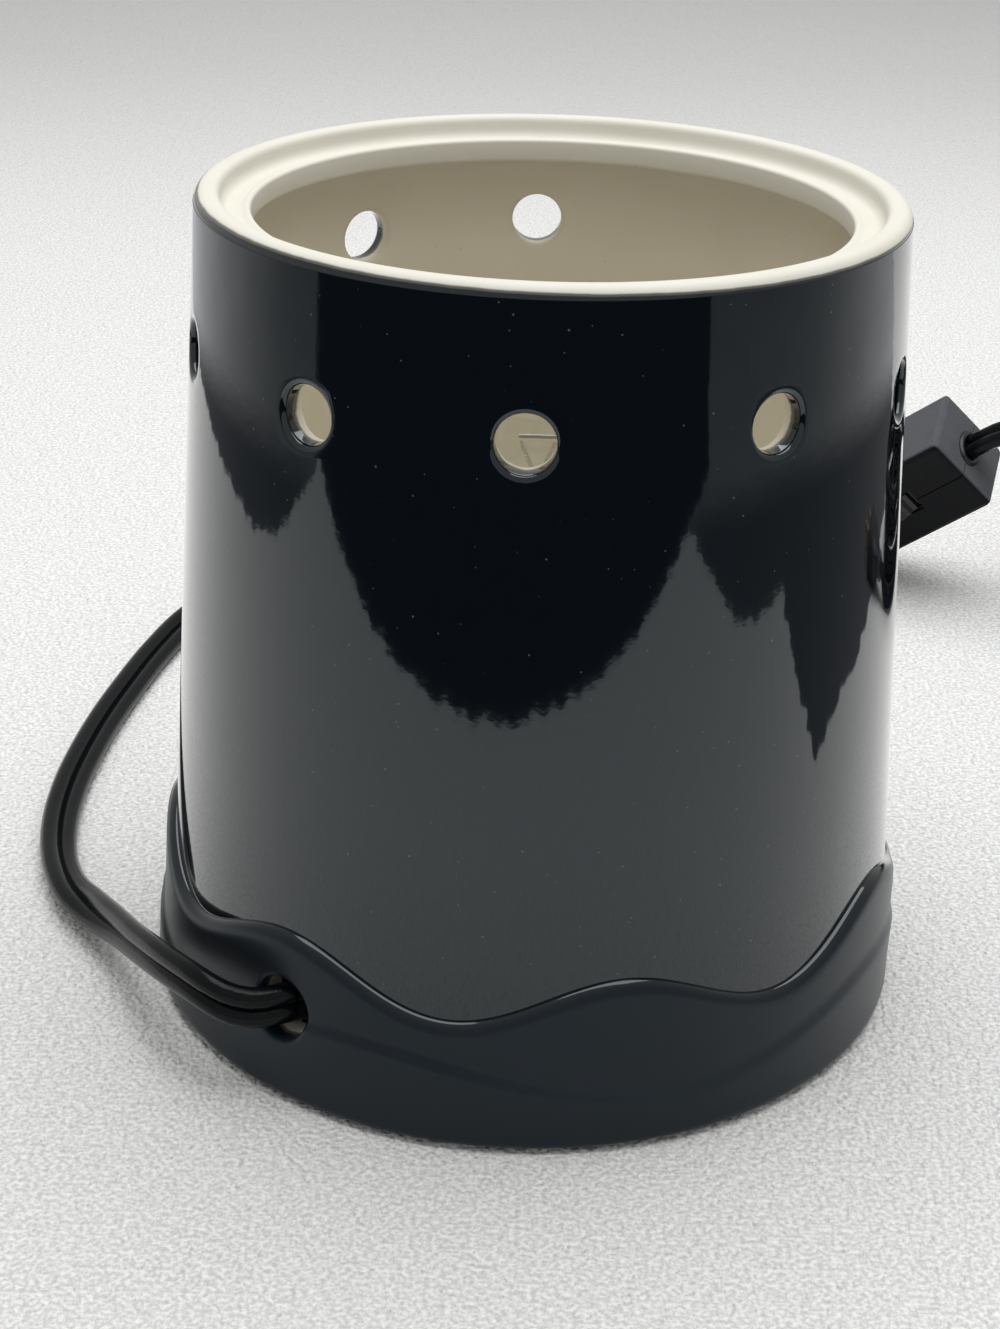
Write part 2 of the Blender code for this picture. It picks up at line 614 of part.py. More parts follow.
def make_clamp(nylon, steel):
    """Saddle that clamps the cord to the cover, with its screws."""
    inside = CORD_RADIUS + GAP
    arch = inside + CLAMP_THICK
    foot = CLAMP_SCREW_REACH + SMALL_HEAD_RADIUS
    low = COVER_TOP + GAP
    turns = [math.pi * step / CLAMP_SIDES for step in range(CLAMP_SIDES + 1)]
    outer = [(arch * math.cos(turn), CORD_ON_COVER + arch * math.sin(turn)) for turn in turns]
    inner = [(inside * math.cos(turn), CORD_ON_COVER + inside * math.sin(turn)) for turn in reversed(turns)]
    outline = [(inside, low), (foot, low), (foot, low + CLAMP_THICK), (arch, low + CLAMP_THICK), *outer,
               (-arch, low + CLAMP_THICK), (-foot, low + CLAMP_THICK), (-foot, low), (-inside, low), *inner]
    middle = Matrix.Translation((*CLAMP_PLACE, 0))
    saddle = extruded("cord_clamp", outline, -CLAMP_WIDTH / 2, CLAMP_WIDTH / 2, "YZ")
    clamp = place("cord_clamp", saddle, nylon, middle)
    length = CLAMP_THICK + COVER_THICK
    seat_height = low + CLAMP_THICK + GAP
    seats = [middle @ Matrix.Translation((0, side * CLAMP_SCREW_REACH, seat_height)) for side in (-1, 1)]
    clamp_hole = cylinder("clamp_hole", SMALL_SCREW_RADIUS + GAP, 4 * CLAMP_THICK, SMALL_SIDES)
    cut(clamp, "clamp_holes", *[(clamp_hole, seat) for seat in seats])
    for number, seat in enumerate(seats, 1):
        profile = screw_profile(SMALL_SCREW_RADIUS, SMALL_HEAD_RADIUS, CLAMP_THICK, length)
        place(f"cord_clamp_screw_{number}", turned("cord_clamp_screw", profile, SMALL_SIDES), steel,
              seat @ Matrix.Rotation(math.pi, 4, "X"))


def make_inner_wiring(cord):
    """Cord from its hole to the clamp, then two leads up through the nipple."""
    middle, heading = cord_hole_line()
    clamp_x, clamp_y = CLAMP_PLACE
    held = [(clamp_x + shift, clamp_y, CORD_ON_COVER) for shift in (-CLAMP_WIDTH, 0, CLAMP_WIDTH)]
    route = [middle - heading * GAP / 2, *ROUTE_INSIDE, *held]
    tube("cord_inside", smooth_route(route, BEND_STEP), CORD_RADIUS, cord, 3)
    heights = (NIPPLE_BOTTOM, FLOOR_UNDER, SOCKET_BORE_BOTTOM - GAP)
    for (name, route), side in zip(LEAD_ROUTES.items(), (1, -1)):
        start = (clamp_x + CLAMP_WIDTH + GAP, clamp_y + side * LEAD_SPREAD, CORD_ON_COVER)
        rise = [(-side * LEAD_SPREAD, 0, height) for height in heights]
        tube(name, smooth_route([start, *route, *rise], LEAD_STEP), LEAD_RADIUS, cord, 2)


def cord_hole_line():
    """Middle of the cord hole's wall, and the way in which the cord leaves."""
    depth = (outer_radius(CORD_HOLE_HEIGHT) + RELIEF + inner_radius(CORD_HOLE_HEIGHT)) / 2
    return around(CORD_HOLE_ANGLE, depth, CORD_HOLE_HEIGHT), around(CORD_LEAVES_ANGLE, 1, 0)


def half_switch(name, side, material):
    """Hollow half of the switch's housing, above or below the parting plane."""
    bm = bmesh.new()
    bmesh.ops.create_cube(bm, size=1.0)
    bmesh.ops.scale(bm, vec=(SWITCH_LENGTH, SWITCH_WIDTH, SWITCH_HEIGHT), verts=bm.verts)
    bmesh.ops.bevel(bm, geom=bm.edges, offset=SWITCH_ROUND, segments=2, profile=0.5, affect="EDGES")
    whole = bm.verts[:] + bm.edges[:] + bm.faces[:]
    bmesh.ops.bisect_plane(bm, geom=whole, plane_co=(0, 0, side * GAP / 2), plane_no=(0, 0, -side),
                           clear_outer=True)
    bmesh.ops.holes_fill(bm, edges=bm.edges)
    half = place(name, to_mesh(name, bm), material, SWITCH_MATRIX)
    chamber = (CHAMBER_LENGTH, SWITCH_WIDTH - 2 * SWITCH_WALL, SWITCH_HEIGHT - 2 * SWITCH_WALL)
    cut(half, f"{name}_chamber", (box("chamber", chamber), SWITCH_MATRIX))
    channel = (SWITCH_LENGTH + 4 * SWITCH_WALL, CHANNEL_WIDTH, CHANNEL_HEIGHT)
    cut(half, f"{name}_channel", (box("channel", channel), SWITCH_MATRIX))
    chord = math.sqrt(WHEEL_RADIUS ** 2 - (SWITCH_WIDTH / 2 - SWITCH_WALL + WHEEL_OFFSET) ** 2)
    slot = (2 * (chord + WHEEL_SLACK), SWITCH_WIDTH / 2, WHEEL_THICK + 2 * WHEEL_SLACK)
    slot_place = SWITCH_MATRIX @ Matrix.Translation((0, -SWITCH_WIDTH / 2, 0))
    cut(half, f"{name}_slot", (box("slot", slot), slot_place))
    seats = [SWITCH_MATRIX @ Matrix.Translation((x, y, 0)) for x, y in switch_screw_places()]
    hole = slug("screw_hole", SMALL_SCREW_RADIUS + GAP, -SWITCH_HEIGHT, SWITCH_SCREW_TOP + GAP, SMALL_SIDES)
    cut(half, f"{name}_screw_holes", *[(hole, seat) for seat in seats])
    if side < 0:
        depth = SWITCH_WALL - SWITCH_HEIGHT / 2
        sunk = slug("sunk_head", SMALL_HEAD_RADIUS + GAP, -SWITCH_HEIGHT, depth, SMALL_SIDES)
        cut(half, f"{name}_sunk_heads", *[(sunk, seat) for seat in seats])


def switch_screw_places():
    return ((-SWITCH_SCREW_X, -SWITCH_SCREW_Y), (SWITCH_SCREW_X, SWITCH_SCREW_Y))


def make_switch(black, brass, steel):
    """In-line switch: two halves, thumb wheel on its axle, contacts and screws."""
    half_switch("switch_upper_half", 1, black)
    half_switch("switch_lower_half", -1, black)
    middle = SWITCH_MATRIX @ Matrix.Translation((0, WHEEL_OFFSET, 0))
    rim = []
    for index in range(2 * WHEEL_TEETH):
        radius = WHEEL_RADIUS - WHEEL_TOOTH * (index % 2)
        turn = math.pi * index / WHEEL_TEETH
        rim.append((radius * math.cos(turn), radius * math.sin(turn)))
    disc = extruded("switch_wheel", rim, -WHEEL_THICK / 2, WHEEL_THICK / 2)
    wheel = place("switch_wheel", disc, black, middle)
    cut(wheel, "wheel_bore", (cylinder("wheel_bore", AXLE_RADIUS + GAP, 2 * WHEEL_THICK), middle))
    axle_length = SWITCH_HEIGHT - 2 * SWITCH_WALL - 2 * GAP
    place("switch_axle", cylinder("switch_axle", AXLE_RADIUS, axle_length, SMALL_SIDES), steel, middle)
    contact = (CONTACT_LENGTH, CONTACT_THICK, CONTACT_HEIGHT)
    for number, side in enumerate((-1, 1), 1):
        seat = (side * (CONTACT_LENGTH / 2 + WHEEL_SLACK), SWITCH_WIDTH / 2 - SWITCH_WALL - CONTACT_INSET, 0)
        place(f"switch_contact_{number}", box("switch_contact", contact), brass,
              SWITCH_MATRIX @ Matrix.Translation(seat))
    head_seat = SWITCH_WALL - SWITCH_HEIGHT / 2 - GAP
    profile = screw_profile(SMALL_SCREW_RADIUS, SMALL_HEAD_RADIUS, SWITCH_HEAD_HEIGHT,
                            SWITCH_SCREW_TOP - head_seat)
    for number, (x, y) in enumerate(switch_screw_places(), 1):
        place(f"switch_screw_{number}", turned("switch_screw", profile, SMALL_SIDES), steel,
              SWITCH_MATRIX @ Matrix.Translation((x, y, head_seat)))
    axis = (SWITCH_MATRIX.to_3x3() @ Vector((0, 0, 1))).normalized()
    print("switch wheel turns about", [round(x, 6) for x in middle.translation], [round(x, 6) for x in axis])


def switch_end(side, reach=GAP):
    """Point just outside the middle of one of the switch's ends."""
    return SWITCH_MATRIX @ Vector((side * (SWITCH_LENGTH / 2 + reach), 0, 0))


def ease(value):
    """Smooth step from 0 to 1."""
    value = min(1.0, max(0.0, value))
    return value * value * (3 - 2 * value)


def coil_points():
    """Loops that spiral in and out, a layer lower after each half turn of reversal, with straight ends."""
    per_layer = COIL_TURNS / COIL_LAYERS
    count = round(LOOP_POINTS * COIL_TURNS)
    points = []
    for index in range(count + 1):
        turns = COIL_TURNS * index / count
        outward = abs((turns / per_layer) % 2 - 1)
        radius = COIL_INNER + COIL_PITCH * per_layer * outward
        drops = sum(ease(2 * (turns - per_layer * layer) + 0.5) for layer in range(1, COIL_LAYERS))
        height = COIL_LIFT + COIL_LAYER * (COIL_LAYERS - 1 - drops)
        turn = math.radians(COIL_START) + math.tau * turns
        points.append(Vector((COIL_CENTRE[0] + radius * math.cos(turn),
                              COIL_CENTRE[1] + radius * math.sin(turn), height)))
    first = (points[0] - points[1]).normalized() * CORD_END + points[0]
    last = (points[-1] - points[-2]).normalized() * CORD_END + points[-1]
    return [first, *points, last]


def least_gap(points, skip):
    """Least gap of a tube to itself, between points that aren't neighbours along it."""
    fine = [a.lerp(b, part / 4) for a, b in zip(points, points[1:]) for part in range(4)]
    far_apart = ((a - b).length for index, a in enumerate(fine) for b in fine[index + skip:])
    return min(far_apart) - 2 * CORD_RADIUS


def make_coil(cord, tie):
    """Coil of the spare cord and the tie round its loops."""
    points = coil_points()
    tube("cord_coil", points, CORD_RADIUS, cord, 1)
    print(f"cord_coil: least gap to itself {1000 * least_gap(points, 2 * LOOP_POINTS):.2f} mm")
    near = COIL_INNER - CORD_RADIUS - TIE_CLEAR
    far = COIL_INNER + COIL_PITCH * COIL_TURNS / COIL_LAYERS + CORD_RADIUS + TIE_CLEAR
    low = TIE_THICK / 4
    high = COIL_LIFT + COIL_LAYER * (COIL_LAYERS - 0.5) + TIE_THICK
    outline = ((near - TIE_THICK, low), (far + TIE_THICK, low), (far + TIE_THICK, high + TIE_THICK),
               (near - TIE_THICK, high + TIE_THICK))
    loop = extruded("coil_tie", outline, -TIE_WIDTH / 2, TIE_WIDTH / 2, "XZ")
    matrix = Matrix.Translation((*COIL_CENTRE, 0)) @ Matrix.Rotation(math.radians(TIE_TURN), 4, "Z")
    strap = place("coil_tie", loop, tie, matrix)
    inside = ((near, low + TIE_THICK), (far, low + TIE_THICK), (far, high), (near, high))
    opening = extruded("tie_opening", inside, -TIE_WIDTH, TIE_WIDTH, "XZ")
    cut(strap, "tie_opening", (opening, matrix))


def make_plug(black, brass):
    """Moulded plug with a tapered tail and two flat blades."""
    matrix = Matrix.Translation(PLUG_PLACE) @ Matrix.Rotation(math.radians(PLUG_HEADING), 4, "Z")
    sections = ((-PLUG_TAIL, *PLUG_TAIL_END), (-PLUG_TAIL / 2, *PLUG_TAIL_MIDDLE), (0, *PLUG_SHOULDER),
                (PLUG_LENGTH / 3, PLUG_HALF_WIDTH, PLUG_HALF_THICK),
                (PLUG_LENGTH - EDGE_ROUND, PLUG_HALF_WIDTH, PLUG_HALF_THICK),
                (PLUG_LENGTH, PLUG_HALF_WIDTH - EDGE_ROUND, PLUG_HALF_THICK - EDGE_ROUND))
    bm = bmesh.new()
    loops = []
    for x, half_width, half_thick in sections:
        loop = []
        for index in range(ROUND_SIDES):
            turn = math.tau * (index + 0.5) / ROUND_SIDES
            side, rise = math.cos(turn), math.sin(turn)
            loop.append(bm.verts.new((x, math.copysign(half_width * abs(side) ** PLUG_SQUARE, side),
                                      math.copysign(half_thick * abs(rise) ** PLUG_SQUARE, rise))))
        loops.append(loop)
    for near, far in zip(loops, loops[1:]):
        for a, b, c, d in zip(near, near[1:] + near[:1], far[1:] + far[:1], far):
            bm.faces.new((a, b, c, d))
    bm.faces.new(loops[0])
    bm.faces.new(loops[-1])
    place("plug_body", to_mesh("plug_body", bm), black, matrix)
    for name, side, width in (("plug_blade_wide", -1, BLADE_WIDE), ("plug_blade_narrow", 1, BLADE_NARROW)):
        reach = PLUG_LENGTH + GAP + BLADE_LENGTH / 2
        seat = matrix @ Matrix.Translation((reach, side * BLADE_SPACING / 2, 0))
        blade = place(name, box(name, (BLADE_LENGTH, BLADE_THICK, width), BLADE_THICK / 4, 1), brass, seat)
        hole = seat @ Matrix.Translation((BLADE_HOLE_SHIFT, 0, 0)) @ Matrix.Rotation(math.pi / 2, 4, "X")
        cut(blade, f"{name}_hole", (cylinder("blade_hole", BLADE_HOLE, 4 * BLADE_THICK, SMALL_SIDES), hole))
    return [matrix @ Vector((-PLUG_TAIL - away, 0, 0)) for away in (CORD_END, GAP)]


def make_cord(cord, plug_end):
    """Free stretches of the cord: to the switch, to the coil and to the plug."""
    middle, heading = cord_hole_line()
    start = [middle + heading * GAP / 2, middle + heading * CORD_END]
    end = [switch_end(-1, CORD_END), switch_end(-1)]
    route = [*start, *ROUTE_TO_SWITCH, *end]
    tube("cord_to_switch", smooth_route(route, CORD_STEP), CORD_RADIUS, cord, 3)
    points = coil_points()
    first, last = points[0], points[-1]
    before = (first - points[1]).normalized()
    after = (last - points[-2]).normalized()
    route = [switch_end(1), switch_end(1, CORD_END), *ROUTE_TO_COIL, first + before * CORD_END,
             first + before * GAP]
    tube("cord_to_coil", smooth_route(route, BEND_STEP), CORD_RADIUS, cord, 3)
    route = [last + after * GAP, last + after * CORD_END, *ROUTE_TO_PLUG, *plug_end]
    tube("cord_to_plug", smooth_route(route, BEND_STEP), CORD_RADIUS, cord, 3)


def main():
    clear_scene()
    glaze = finish("black_glaze", (0.008, 0.010, 0.016), 0.12)
    steel = finish("zinc_steel", (0.55, 0.55, 0.56), 0.35, 1.0)
    brass = finish("brass", (0.72, 0.54, 0.26), 0.3, 1.0)
    nickel = finish("nickel_wire", (0.6, 0.58, 0.55), 0.3, 1.0)
    phenolic = finish("phenolic", (0.02, 0.019, 0.018), 0.45)
    rubber = finish("rubber", (0.03, 0.03, 0.03), 0.8)
    black = finish("black_plastic", (0.012, 0.012, 0.014), 0.4)
    nylon = finish("nylon", (0.75, 0.74, 0.70), 0.5)
    glass = finish("clear_glass", (0.95, 0.96, 0.96), 0.02)
    cord = finish("cord_vinyl", (0.010, 0.010, 0.012), 0.38)
    make_shell(glaze)
    make_base(steel, rubber, black)
    make_nipple(steel, brass)
    make_socket(phenolic, brass, steel)
    make_bulb(glass, brass, black, nickel)
    make_clamp(nylon, steel)
    make_inner_wiring(cord)
    make_switch(black, brass, steel)
    make_coil(cord, nylon)
    make_cord(cord, make_plug(black, brass))


main()
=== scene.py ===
# %% [markdown]
# # A ceramic wax warmer, finished for its portrait
#
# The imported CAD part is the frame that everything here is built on. This lesson adds what a camera
# sees: the flat cord, the glazed shell with its soft edges, the clear bulb, and a material for every
# piece.
#
# Lengths are in metres and angles in degrees, turned from the front (-Y) towards +X.

# %% Load the frame
import math

import bmesh
import bpy
from mathutils import Euler, Matrix, Vector, noise as mathutils_noise


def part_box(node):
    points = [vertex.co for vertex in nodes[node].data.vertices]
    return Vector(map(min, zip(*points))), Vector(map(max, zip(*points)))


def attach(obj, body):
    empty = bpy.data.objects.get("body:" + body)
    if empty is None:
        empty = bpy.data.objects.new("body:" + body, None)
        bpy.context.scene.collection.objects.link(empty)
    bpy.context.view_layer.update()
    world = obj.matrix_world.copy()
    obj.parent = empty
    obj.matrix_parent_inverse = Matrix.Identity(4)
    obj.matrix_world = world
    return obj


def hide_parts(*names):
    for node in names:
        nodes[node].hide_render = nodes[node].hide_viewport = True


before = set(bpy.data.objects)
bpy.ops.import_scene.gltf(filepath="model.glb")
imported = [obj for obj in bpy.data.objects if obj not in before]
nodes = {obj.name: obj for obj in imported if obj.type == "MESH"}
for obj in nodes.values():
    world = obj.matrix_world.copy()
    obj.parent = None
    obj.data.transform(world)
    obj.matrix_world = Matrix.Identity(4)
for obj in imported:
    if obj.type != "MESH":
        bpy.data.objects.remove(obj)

scene = bpy.context.scene
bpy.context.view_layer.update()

# %% [markdown]
# ## Camera
#
# The photograph was taken from a little above the rim, looking down at 25 degrees with a slight
# roll. A camera can be turned by hand or by a Track To constraint. Here its three directions are
# written as the columns of its matrix, right, up and backwards, because the roll is then exact.

# %% Camera
IMAGE_HEIGHT, FOCAL_PIXELS, SENSOR_WIDTH = 1329, 2400, 36
CAMERA_PLACE = Vector((-0.00631, -0.378897, 0.23077))
CAMERA_LOOK = Vector((0, 0.907, -0.421))
CAMERA_RIGHT = Vector((1.0, 0.012, 0.026))

camera_data = bpy.data.cameras.new("camera")
camera_data.sensor_width = SENSOR_WIDTH
camera_data.lens = FOCAL_PIXELS * camera_data.sensor_width / IMAGE_HEIGHT
camera_data.clip_start = 0.01
camera = bpy.data.objects.new("camera", camera_data)
look = CAMERA_LOOK.normalized()
right = (CAMERA_RIGHT - look * CAMERA_RIGHT.dot(look)).normalized()
up = right.cross(look)
camera_turn = Matrix((right, up, -look)).transposed().to_4x4()
camera.matrix_world = Matrix.Translation(CAMERA_PLACE) @ camera_turn
scene.collection.objects.link(camera)
scene.camera = camera
print(f"lens {camera_data.lens:.1f} mm")

# %% [markdown]
# ## Helpers for meshes
#
# Each piece is made in a `bmesh`, then turned into an object that rides on a CAD body, so it moves
# when the body moves. `spin` turns a profile about the Z axis, as a lathe does. `sweep` draws a
# cross-section along a path. A bevelled curve could do that too, but it gives less say over how a
# flat cord twists.

# %% Mesh helpers
WELD = 1e-6


def to_piece(name, bm, body, material=None, smooth_angle=40):
    """Object made from a bmesh, riding on a body."""
    bmesh.ops.remove_doubles(bm, verts=bm.verts, dist=WELD)
    bmesh.ops.recalc_face_normals(bm, faces=bm.faces)
    mesh = bpy.data.meshes.new(name)
    bm.to_mesh(mesh)
    bm.free()
    mesh.shade_smooth()
    mesh.set_sharp_from_angle(angle=math.radians(smooth_angle))
    piece = bpy.data.objects.new(name, mesh)
    scene.collection.objects.link(piece)
    if material:
        mesh.materials.append(material)
    print(f"{name}: {len(mesh.polygons)} faces")
    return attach(piece, body)


def spin(profile, sides):
    """Bmesh of a profile turned about Z."""
    bm = bmesh.new()
    points = [bm.verts.new((radius, 0, height)) for radius, height in profile]
    edges = [bm.edges.new(pair) for pair in zip(points, points[1:])]
    bmesh.ops.spin(bm, geom=points + edges, cent=(0, 0, 0), axis=(0, 0, 1), angle=math.tau, steps=sides,
                   use_merge=True)
    return bm


def bridge(bm, near, far):
    """Quads between two closed loops of as many points."""
    for a, b, c, d in zip(near, near[1:] + near[:1], far[1:] + far[:1], far):
        bm.faces.new((a, b, c, d))


def sweep(path, wide, section, squeeze=None):
    """Bmesh of a section drawn along a path, with the way its width points and its squeeze at each point."""
    bm = bmesh.new()
    loops = []
    for index, point in enumerate(path):
        ahead = path[min(index + 1, len(path) - 1)] - path[max(index - 1, 0)]
        ahead.normalize()
        across = (wide[index] - ahead * wide[index].dot(ahead)).normalized()
        through = ahead.cross(across)
        share = squeeze[index] if squeeze else 1
        loops.append([bm.verts.new(point + across * u * share + through * v) for u, v in section])
    for near, far in zip(loops, loops[1:]):
        bridge(bm, near, far)
    bm.faces.new(loops[0][::-1])
    bm.faces.new(loops[-1])
    return bm


def around(angle, radius, height):
    """Point at an angle from the front, a radius and a height."""
    turn = math.radians(angle)
    return Vector((radius * math.sin(turn), -radius * math.cos(turn), height))


def arc(centre, radius, start, end, steps):
    """Points of a circular arc in a profile, between two angles."""
    turns = [math.radians(start + (end - start) * step / steps) for step in range(steps + 1)]
    return [(centre[0] + radius * math.cos(turn), centre[1] + radius * math.sin(turn)) for turn in turns]

# %% [markdown]
# ## The cord's route
#
# The cord is a flat two-core lamp lead, 7.2 mm wide. It leaves the hole in the foot, loops round
# the left and back of the warmer to the in-line switch, arches over to a tied coil of the spare
# length and ends in its plug. A rope simulation could lay it, but the real one lies in a known
# place, so the points of the CAD route are written out.

# %% Cord route
CORD_WIDTH = 0.0072
CORD_THICK = 0.0037
CORD_END = 0.005
GAP = 0.0003
SWITCH_LENGTH = 0.044
SWITCH_MATRIX = Matrix.Translation((0.0902, 0.1752, 0.0251)) @ Euler(
    [math.radians(turn) for turn in (28, -38, -34)]).to_matrix().to_4x4()
CORD_HOLE = around(-38, 0.0624, 0.0165)
CORD_LEAVES = around(-65, 1, 0)
ROUTE_TO_SWITCH = (
    (-0.0474, -0.0518, 0.0171), (-0.0508, -0.0504, 0.0178), (-0.0544, -0.0472, 0.0180),
    (-0.0608, -0.0382, 0.0162), (-0.0668, -0.0272, 0.0129), (-0.0725, -0.0157, 0.0094),
    (-0.0786, -0.0050, 0.0064), (-0.0847, 0.0062, 0.0042), (-0.0892, 0.0195, 0.0029),
    (-0.0916, 0.0340, 0.0026), (-0.0922, 0.0490, 0.0026), (-0.0915, 0.0640, 0.0026),
    (-0.0900, 0.0795, 0.0026), (-0.0876, 0.0955, 0.0026), (-0.0842, 0.1140, 0.0026),
    (-0.0790, 0.1335, 0.0026), (-0.0700, 0.1525, 0.0026), (-0.0560, 0.1690, 0.0026),
    (-0.0370, 0.1825, 0.0026), (-0.0155, 0.1925, 0.0026), (0.0075, 0.1988, 0.0026),
    (0.0290, 0.2010, 0.0026), (0.0460, 0.1995, 0.0027), (0.0580, 0.1953, 0.0034),
)
ROUTE_TO_COIL = (
    (0.1157, 0.1580, 0.0464), (0.1244, 0.1521, 0.0469), (0.1328, 0.1468, 0.0432),
    (0.1398, 0.1429, 0.0364), (0.1488, 0.1388, 0.0298),
)
ROUTE_TO_PLUG = ((0.1900, 0.1265, 0.0062),)
COIL_CENTRE = (0.184, 0.176)
COIL_TURNS, COIL_LAYERS, LOOP_POINTS = 5, 4, 48
COIL_INNER, COIL_PITCH, COIL_LAYER, COIL_LIFT, COIL_START = 0.0376, 0.0062, 0.0076, 0.0046, -108
PLUG_MATRIX = Matrix.Translation((0.2225, 0.1165, 0.0085)) @ Matrix.Rotation(math.radians(-16), 4, "Z")
PLUG_TAIL = 0.020
print(f"{len(ROUTE_TO_SWITCH)} points to the switch, a coil of {COIL_TURNS} turns")

# %% [markdown]
# ## Curves through points
#
# A cord bends smoothly and leaves each fitting straight. A Bezier curve object could be drawn
# through the points, but a mesh tube needs its own points, so `smooth_route` works out such a curve
# with straight end spans. `coil_points` winds the spare length in layers, from the top down.

# %% Route helpers
def smooth_route(points, step):
    """Points about a step apart on a smooth curve through the route, its end spans straight."""
    route = [Vector(point) for point in points]
    first, last = route[0], route[-1]
    route = route[1:-1]
    leaving = (route[0] - first).normalized() * (route[1] - route[0]).length
    arriving = (last - route[-1]).normalized() * (route[-1] - route[-2]).length
    route = [route[1] - 2 * leaving, *route, route[-2] + 2 * arriving]
    smooth = [first]
    for before, start, end, after in zip(route, route[1:], route[2:], route[3:]):
        leave = start + (end - before) / 6
        reach = end - (after - start) / 6
        parts = max(2, round((end - start).length / step))
        for index in range(parts):
            t = index / parts
            smooth.append((1 - t) ** 3 * start + 3 * (1 - t) ** 2 * t * leave
                          + 3 * (1 - t) * t ** 2 * reach + t ** 3 * end)
    return [*smooth, route[-2], last]


def ease(value):
    """Smooth step from 0 to 1."""
    value = min(1.0, max(0.0, value))
    return value * value * (3 - 2 * value)


def coil_points():
    """Loops piled in layers, from the top down."""
    per_layer = COIL_TURNS / COIL_LAYERS
    points = []
    for index in range(LOOP_POINTS * COIL_TURNS + 1):
        turns = index / LOOP_POINTS
        outward = abs((turns / per_layer) % 2 - 1)
        radius = COIL_INNER + COIL_PITCH * per_layer * outward
        drops = sum(ease(2 * (turns - per_layer * layer) + 0.5) for layer in range(1, COIL_LAYERS))
        height = COIL_LIFT + COIL_LAYER * (COIL_LAYERS - 1 - drops)
        turn = math.radians(COIL_START) + math.tau * turns
        points.append(Vector((COIL_CENTRE[0] + radius * math.cos(turn),
                              COIL_CENTRE[1] + radius * math.sin(turn), height)))
    return points


def path_length(path):
    return sum((b - a).length for a, b in zip(path, path[1:]))


def switch_end(side, reach=GAP):
    """Point just outside the middle of one of the switch's ends."""
    return SWITCH_MATRIX @ Vector((side * (SWITCH_LENGTH / 2 + reach), 0, 0))

# %% [markdown]
# ## The whole route
#
# The three stretches are joined here: from the foot to the switch, from the switch to the coil, and from the
# coil to the plug. Each starts and ends straight for a few millimetres, so that the cord meets its fittings
# squarely. Their lengths are measured from the points and printed.

# %% Whole route
ROUTE_STEP = 0.003
coil = coil_points()
into_coil = (coil[0] - coil[1]).normalized() * CORD_END
out_of_coil = (coil[-1] - coil[-2]).normalized() * CORD_END
plug_tail = [PLUG_MATRIX @ Vector((-PLUG_TAIL - away, 0, 0)) for away in (CORD_END, GAP)]
to_switch = smooth_route([CORD_HOLE, CORD_HOLE + CORD_LEAVES * CORD_END, *ROUTE_TO_SWITCH,
                          switch_end(-1, CORD_END), switch_end(-1)], ROUTE_STEP)
to_coil = smooth_route([switch_end(1), switch_end(1, CORD_END), *ROUTE_TO_COIL,
                        coil[0] + into_coil * 2, coil[0] + into_coil], ROUTE_STEP)
to_plug = smooth_route([coil[-1] + out_of_coil, coil[-1] + out_of_coil * 2, *ROUTE_TO_PLUG, *plug_tail],
                       ROUTE_STEP)
to_end = to_coil + coil + to_plug
print(f"to the switch {path_length(to_switch):.3f} m, to the plug {path_length(to_end):.3f} m")

# %% [markdown]
# ## The cord's section and its twist
#
# The section has two round cores with a groove between them on both broad faces. An array of two
# tubes would leave a seam, so one outline holds both. The cord leaves the hole on edge and rolls
# over at its bend to lie on the table. `settle` and `twist` give the way its width points along the
# route.

# %% Cord section
UP = Vector((0, 0, 1))
LEAN = math.radians(-18)
GROOVE = 160
ROLL_START, ROLL_SPAN, LEVEL_START, LEVEL_SPAN = 0.11, 0.14, 0.82, 0.14


def twin_section(width, thick, steps=15):
    """Outline of two round cores joined by a grooved web."""
    core = thick / 2
    shift = width / 2 - core
    outline = []
    for side in (1, -1):
        for step in range(steps + 1):
            turn = math.radians(-GROOVE + 2 * GROOVE * step / steps)
            outline.append((side * (shift + core * math.cos(turn)), side * core * math.sin(turn)))
    return outline


def twist(count, flat, start, end):
    """Width directions that change from upright to flat between two shares of the path."""
    return [UP.lerp(flat, ease((index / count - start) / (end - start))) for index in range(count)]


def settle(path, last):
    """Width directions that start upright, roll over to lie on the table and end along a given one."""
    wide = []
    for index, (before, after) in enumerate(zip(path[:1] + path, path[1:] + path[-1:])):
        share = index / len(path)
        aside = (after - before).cross(UP).normalized()
        leaning = aside * math.cos(LEAN) + UP * math.sin(LEAN)
        rolled = UP.lerp(leaning, ease((share - ROLL_START) / ROLL_SPAN))
        wide.append(rolled.lerp(last, ease((share - LEVEL_START) / LEVEL_SPAN)))
    return wide


section = twin_section(CORD_WIDTH, CORD_THICK)
print(f"cord section of {len(section)} points")

# %% [markdown]
# ## The cord outside
#
# Two sweeps make the cord that is seen: one up to the switch, and one that takes the arch, the coil
# and the run to the plug without a break. It enters the switch flat, and in the coil it stands on
# edge. Each sweep takes the place of its CAD solids.

# %% Outer cord
switch_across = (SWITCH_MATRIX.to_3x3() @ Vector((0, 1, 0))).normalized()
cord_to_switch = to_piece("lamp_cord", sweep(to_switch, settle(to_switch, -switch_across), section),
                          "warmer")
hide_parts("cord_to_switch")
arch = twist(len(to_coil), switch_across, 1.0, 0.0)
plug_across = (PLUG_MATRIX.to_3x3() @ Vector((0, 1, 0))).normalized()
level = twist(len(to_plug), plug_across, 0.1, 1.0)
spare_cord = to_piece("spare_cord", sweep(to_end, arch + [UP] * len(coil) + level, section), "warmer")
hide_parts("cord_to_coil", "cord_coil", "cord_to_plug")

